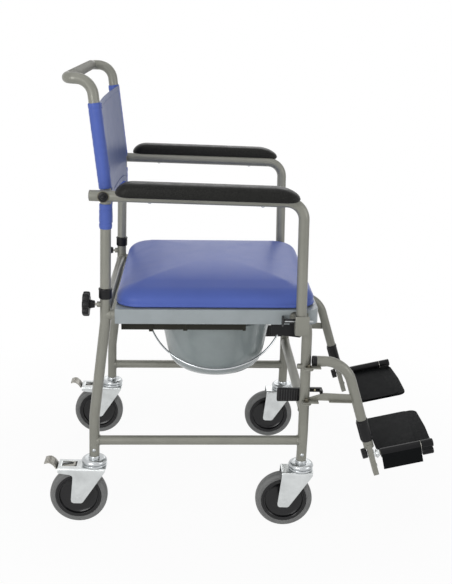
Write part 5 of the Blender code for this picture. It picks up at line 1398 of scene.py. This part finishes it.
def footrest(side):
    # The sleeve, the stem with its blade and hinge pin, and the height knob, laid out from the sleeve's top
    place = stem_place(side)
    n = SLEEVE_LENGTH
    s = Shape(place)
    s.lathe(mm((10, 0), (11.2, 0.4), (12.4, -0.4), (12.7, -1.6), (12.7, -5), (12.1, -5.8))
            + mm((12.1, 6), (12.7, 5.2), (12.7, 1), (12.1, 0), (11.3, 0), z=-n)
            + mm((11.3, -3.5), (10, -3.5)), None, 40, closed=True)
    s.box((-0.0137, -0.0035, 0.004 - n), (-0.0087, 0.0035, -0.004), 0.001)
    piece(s, "sleeve", [BLACK], "footrest", "footrest_sleeve", side)
    s = Shape(place)
    s.lathe(mm((10, 0), (10.6, 0), (11, -0.5), (11, -63.5), (10.6, -64), (0, -64), (0, -59), (10, -59),
               z=-0.0035 - GAP), None, 40)
    blade = rounded(mm((-12.5, -58, 0.5), (-12.5, -134, 5), (12.5, -134, 5), (12.5, -58, 0.5)), 8)
    s.plate(blade, 2 * BLADE_HALF, YZ_PLANE, 0.0018, 3)
    barrel = place.inverted() @ hinge_place(side)
    base, shoulder, tip = (barrel @ Vector((x, 0, 0)) for x in (-0.01, -0.002, 0.083))
    ahead = (tip - base).normalized()
    s.rod(base, tip, 0.004, 0.0006, 24)
    s.use(1)
    s.rod(base, base + ahead * 0.0048, 0.0098, 0.0018, 32)
    s.rod(base, shoulder, 0.007, 0.001, 32)
    s.rod((0, base.y, base.z - 0.001), base + ahead * 0.001, 0.0062, 0.0006)
    # bright screws on the blade
    s.dome(at(BLADE_HALF, 0, -0.079) @ ALONG_X, 28, (0, 2.2), (2.6, 2), (4.68, 1), (5.2, 0), (5.2, -1))
    s.dome(at(BLADE_HALF, 0, -0.114) @ ALONG_X, 28, (0, 2.2), (2.3, 2), (4.14, 1), (4.6, 0), (4.6, -1))
    piece(s, "stem", [PAINT, ZINC], "footrest", "footrest_stem", side)
    front = -BLADE_HALF - 0.0015
    length = 0.012
    drop = -0.08
    s = Shape(place)
    knob(s, at(front - length / 2, 0, drop) @ ALONG_X, 0.0115, 5, 0.0024, length)
    s.use(1).rod((front - length + 0.003, 0, drop), (BLADE_HALF, 0, drop), 0.0028, 0.0003, 16)
    piece(s, "height_knob", [BLACK, ZINC], "footrest", "footrest_knob", side, 40)


def tread_outline(side, inset):
    # The front edge is a little round, and the outline clears the peg in front of the skirt
    inward = -side
    reach = (BARREL[1] - FOOTPLATE_INNER_Y) * inward
    front = FOOTPLATE_FRONT - inset
    return rounded([(0.0005, 0.0, 0.0005), (0.0005, inward * 0.02, 0.002), (-0.0035, inward * 0.028, 0.002),
                    (-0.0035, reach, 0.003), (front - 0.001, reach, 0.017), (front, reach * 0.5, 0.2),
                    (BARREL_LENGTH - 0.0005 - inset, inward * 0.0135, 0.004),
                    (SKIRT_END + 0.001 - inset * 0.5, inward * 0.0125, 0.002),
                    (SKIRT_END - inset * 0.5, 0.0, 0.0005)], 8)


def footplate(side):
    # Laid out from the hinge barrel's rear end, with x along the barrel
    r = BARREL_R
    s = Shape(hinge_place(side)).use(2)
    s.lathe([(0, 0)] + mm((-0.8, 0), (0, 0.8), x=r)
            + mm((0, -0.6), (-0.6, 0), (-0.8, 0.3), (-0.8, 1.8), (0, 2.2), x=r, z=SKIRT_END)
            + mm((0, -1.8), (-0.6, -0.6), (-1.8, 0), x=r, z=BARREL_LENGTH)
            + [(0, BARREL_LENGTH)], ALONG_X, 40)
    s.use(0)
    s.plate(tread_outline(side, 0), 0.0048, at(0, 0, -0.0096), 0.0018, 4)
    s.plate(tread_outline(side, 0.015), 0.0052, at(0, 0, -0.0086), 0.0012, 3)
    s.box((0.001, side * (r - 0.003), -0.037), (SKIRT_END, side * (r - 0.0001), 0.0), 0.0008)
    # webs that tie the plate to the barrel and skirt
    for x in (0.004, 0.042, 0.081):
        s.box((x, -side * 0.02, -0.0115), (x + 0.003, side * (r - 0.002), -0.003), 0.0004)
    # the peg's lower half in front of the skirt, and the block that joins the two
    s.use(2)
    y = side * 0.0004
    s.rod((SKIRT_END + 0.0016, y, -0.0172), (BARREL_LENGTH - 0.0012, y, -0.0172), 0.0078, 0.0022)
    s.box((SKIRT_END + 0.0022, side * -0.004, -0.0125), (BARREL_LENGTH - 0.003, side * 0.005, -0.006))
    band = mm((-1, 0.3), (0.1, 0.3), (0.3, 0.8), (0.1, 1.4), (-1, 1.4), x=r, z=SKIRT_END)
    s.use(1).lathe(band, ALONG_X, 36, closed=True)
    piece(s, "moulded_footplate", [FOOT, STEEL, BARREL_BLACK], "footplate", "footplate",
          side)


def latch(side):
    # A lever between its two ears: a ribbed grip to the rear, a finger with a rivet to the front
    y = side * LATCH_Y
    high = LATCH_HIGH
    outline = mm((-59.5, -14.5, 3), (-12, -13, 3), (-7.5, 0, 1), (9, 0, 1), z=LATCH_LOW)
    outline += mm((10, -7, 1), (37.5, -6.6, 2), (37.5, 2, 2), (12, 1.5, 1), (7.5, 0, 0.5), (-7.5, 0, 1),
                  (-59.5, -1, 3), z=high)
    s = Shape(FRONT_POST).plate(rounded(outline, 5), 0.008, at(0, y, 0) @ XZ_PLANE, 0.001, 3)
    s.box((0.031, y, high - 0.0066), (0.0375, y + side * 0.018, high + 0.0016), 0.001)
    s.use(1)
    rib = side * 0.0052
    for k in range(8):
        x = k * 0.0056 - 0.0568
        s.box((x, y - rib, LATCH_LOW - 0.0125), (x + 0.0024, y + rib, high - 0.0025), 0.001)
    s.use(2).dome(at(0.0215, y + side * 0.0036, high - 0.0028) @ outward(side), 18,
                  (0, 1.8), (1.4, 1.5), (2.3, 0.6), (2.3, -0.6))
    piece(s, "latch_lever", [BLACK, RIB_BLACK, YELLOW_ZINC], "latch", "legrest_latch", side)


camera()
studio()
side_frames()
cross_tubes()
collars()
casters()
back()
sling()
clamps()
arms()
seat_plate()
pan_rails()
pan()
bail()
cushion()
legrests()

bpy.context.scene.view_settings.view_transform = "Standard"
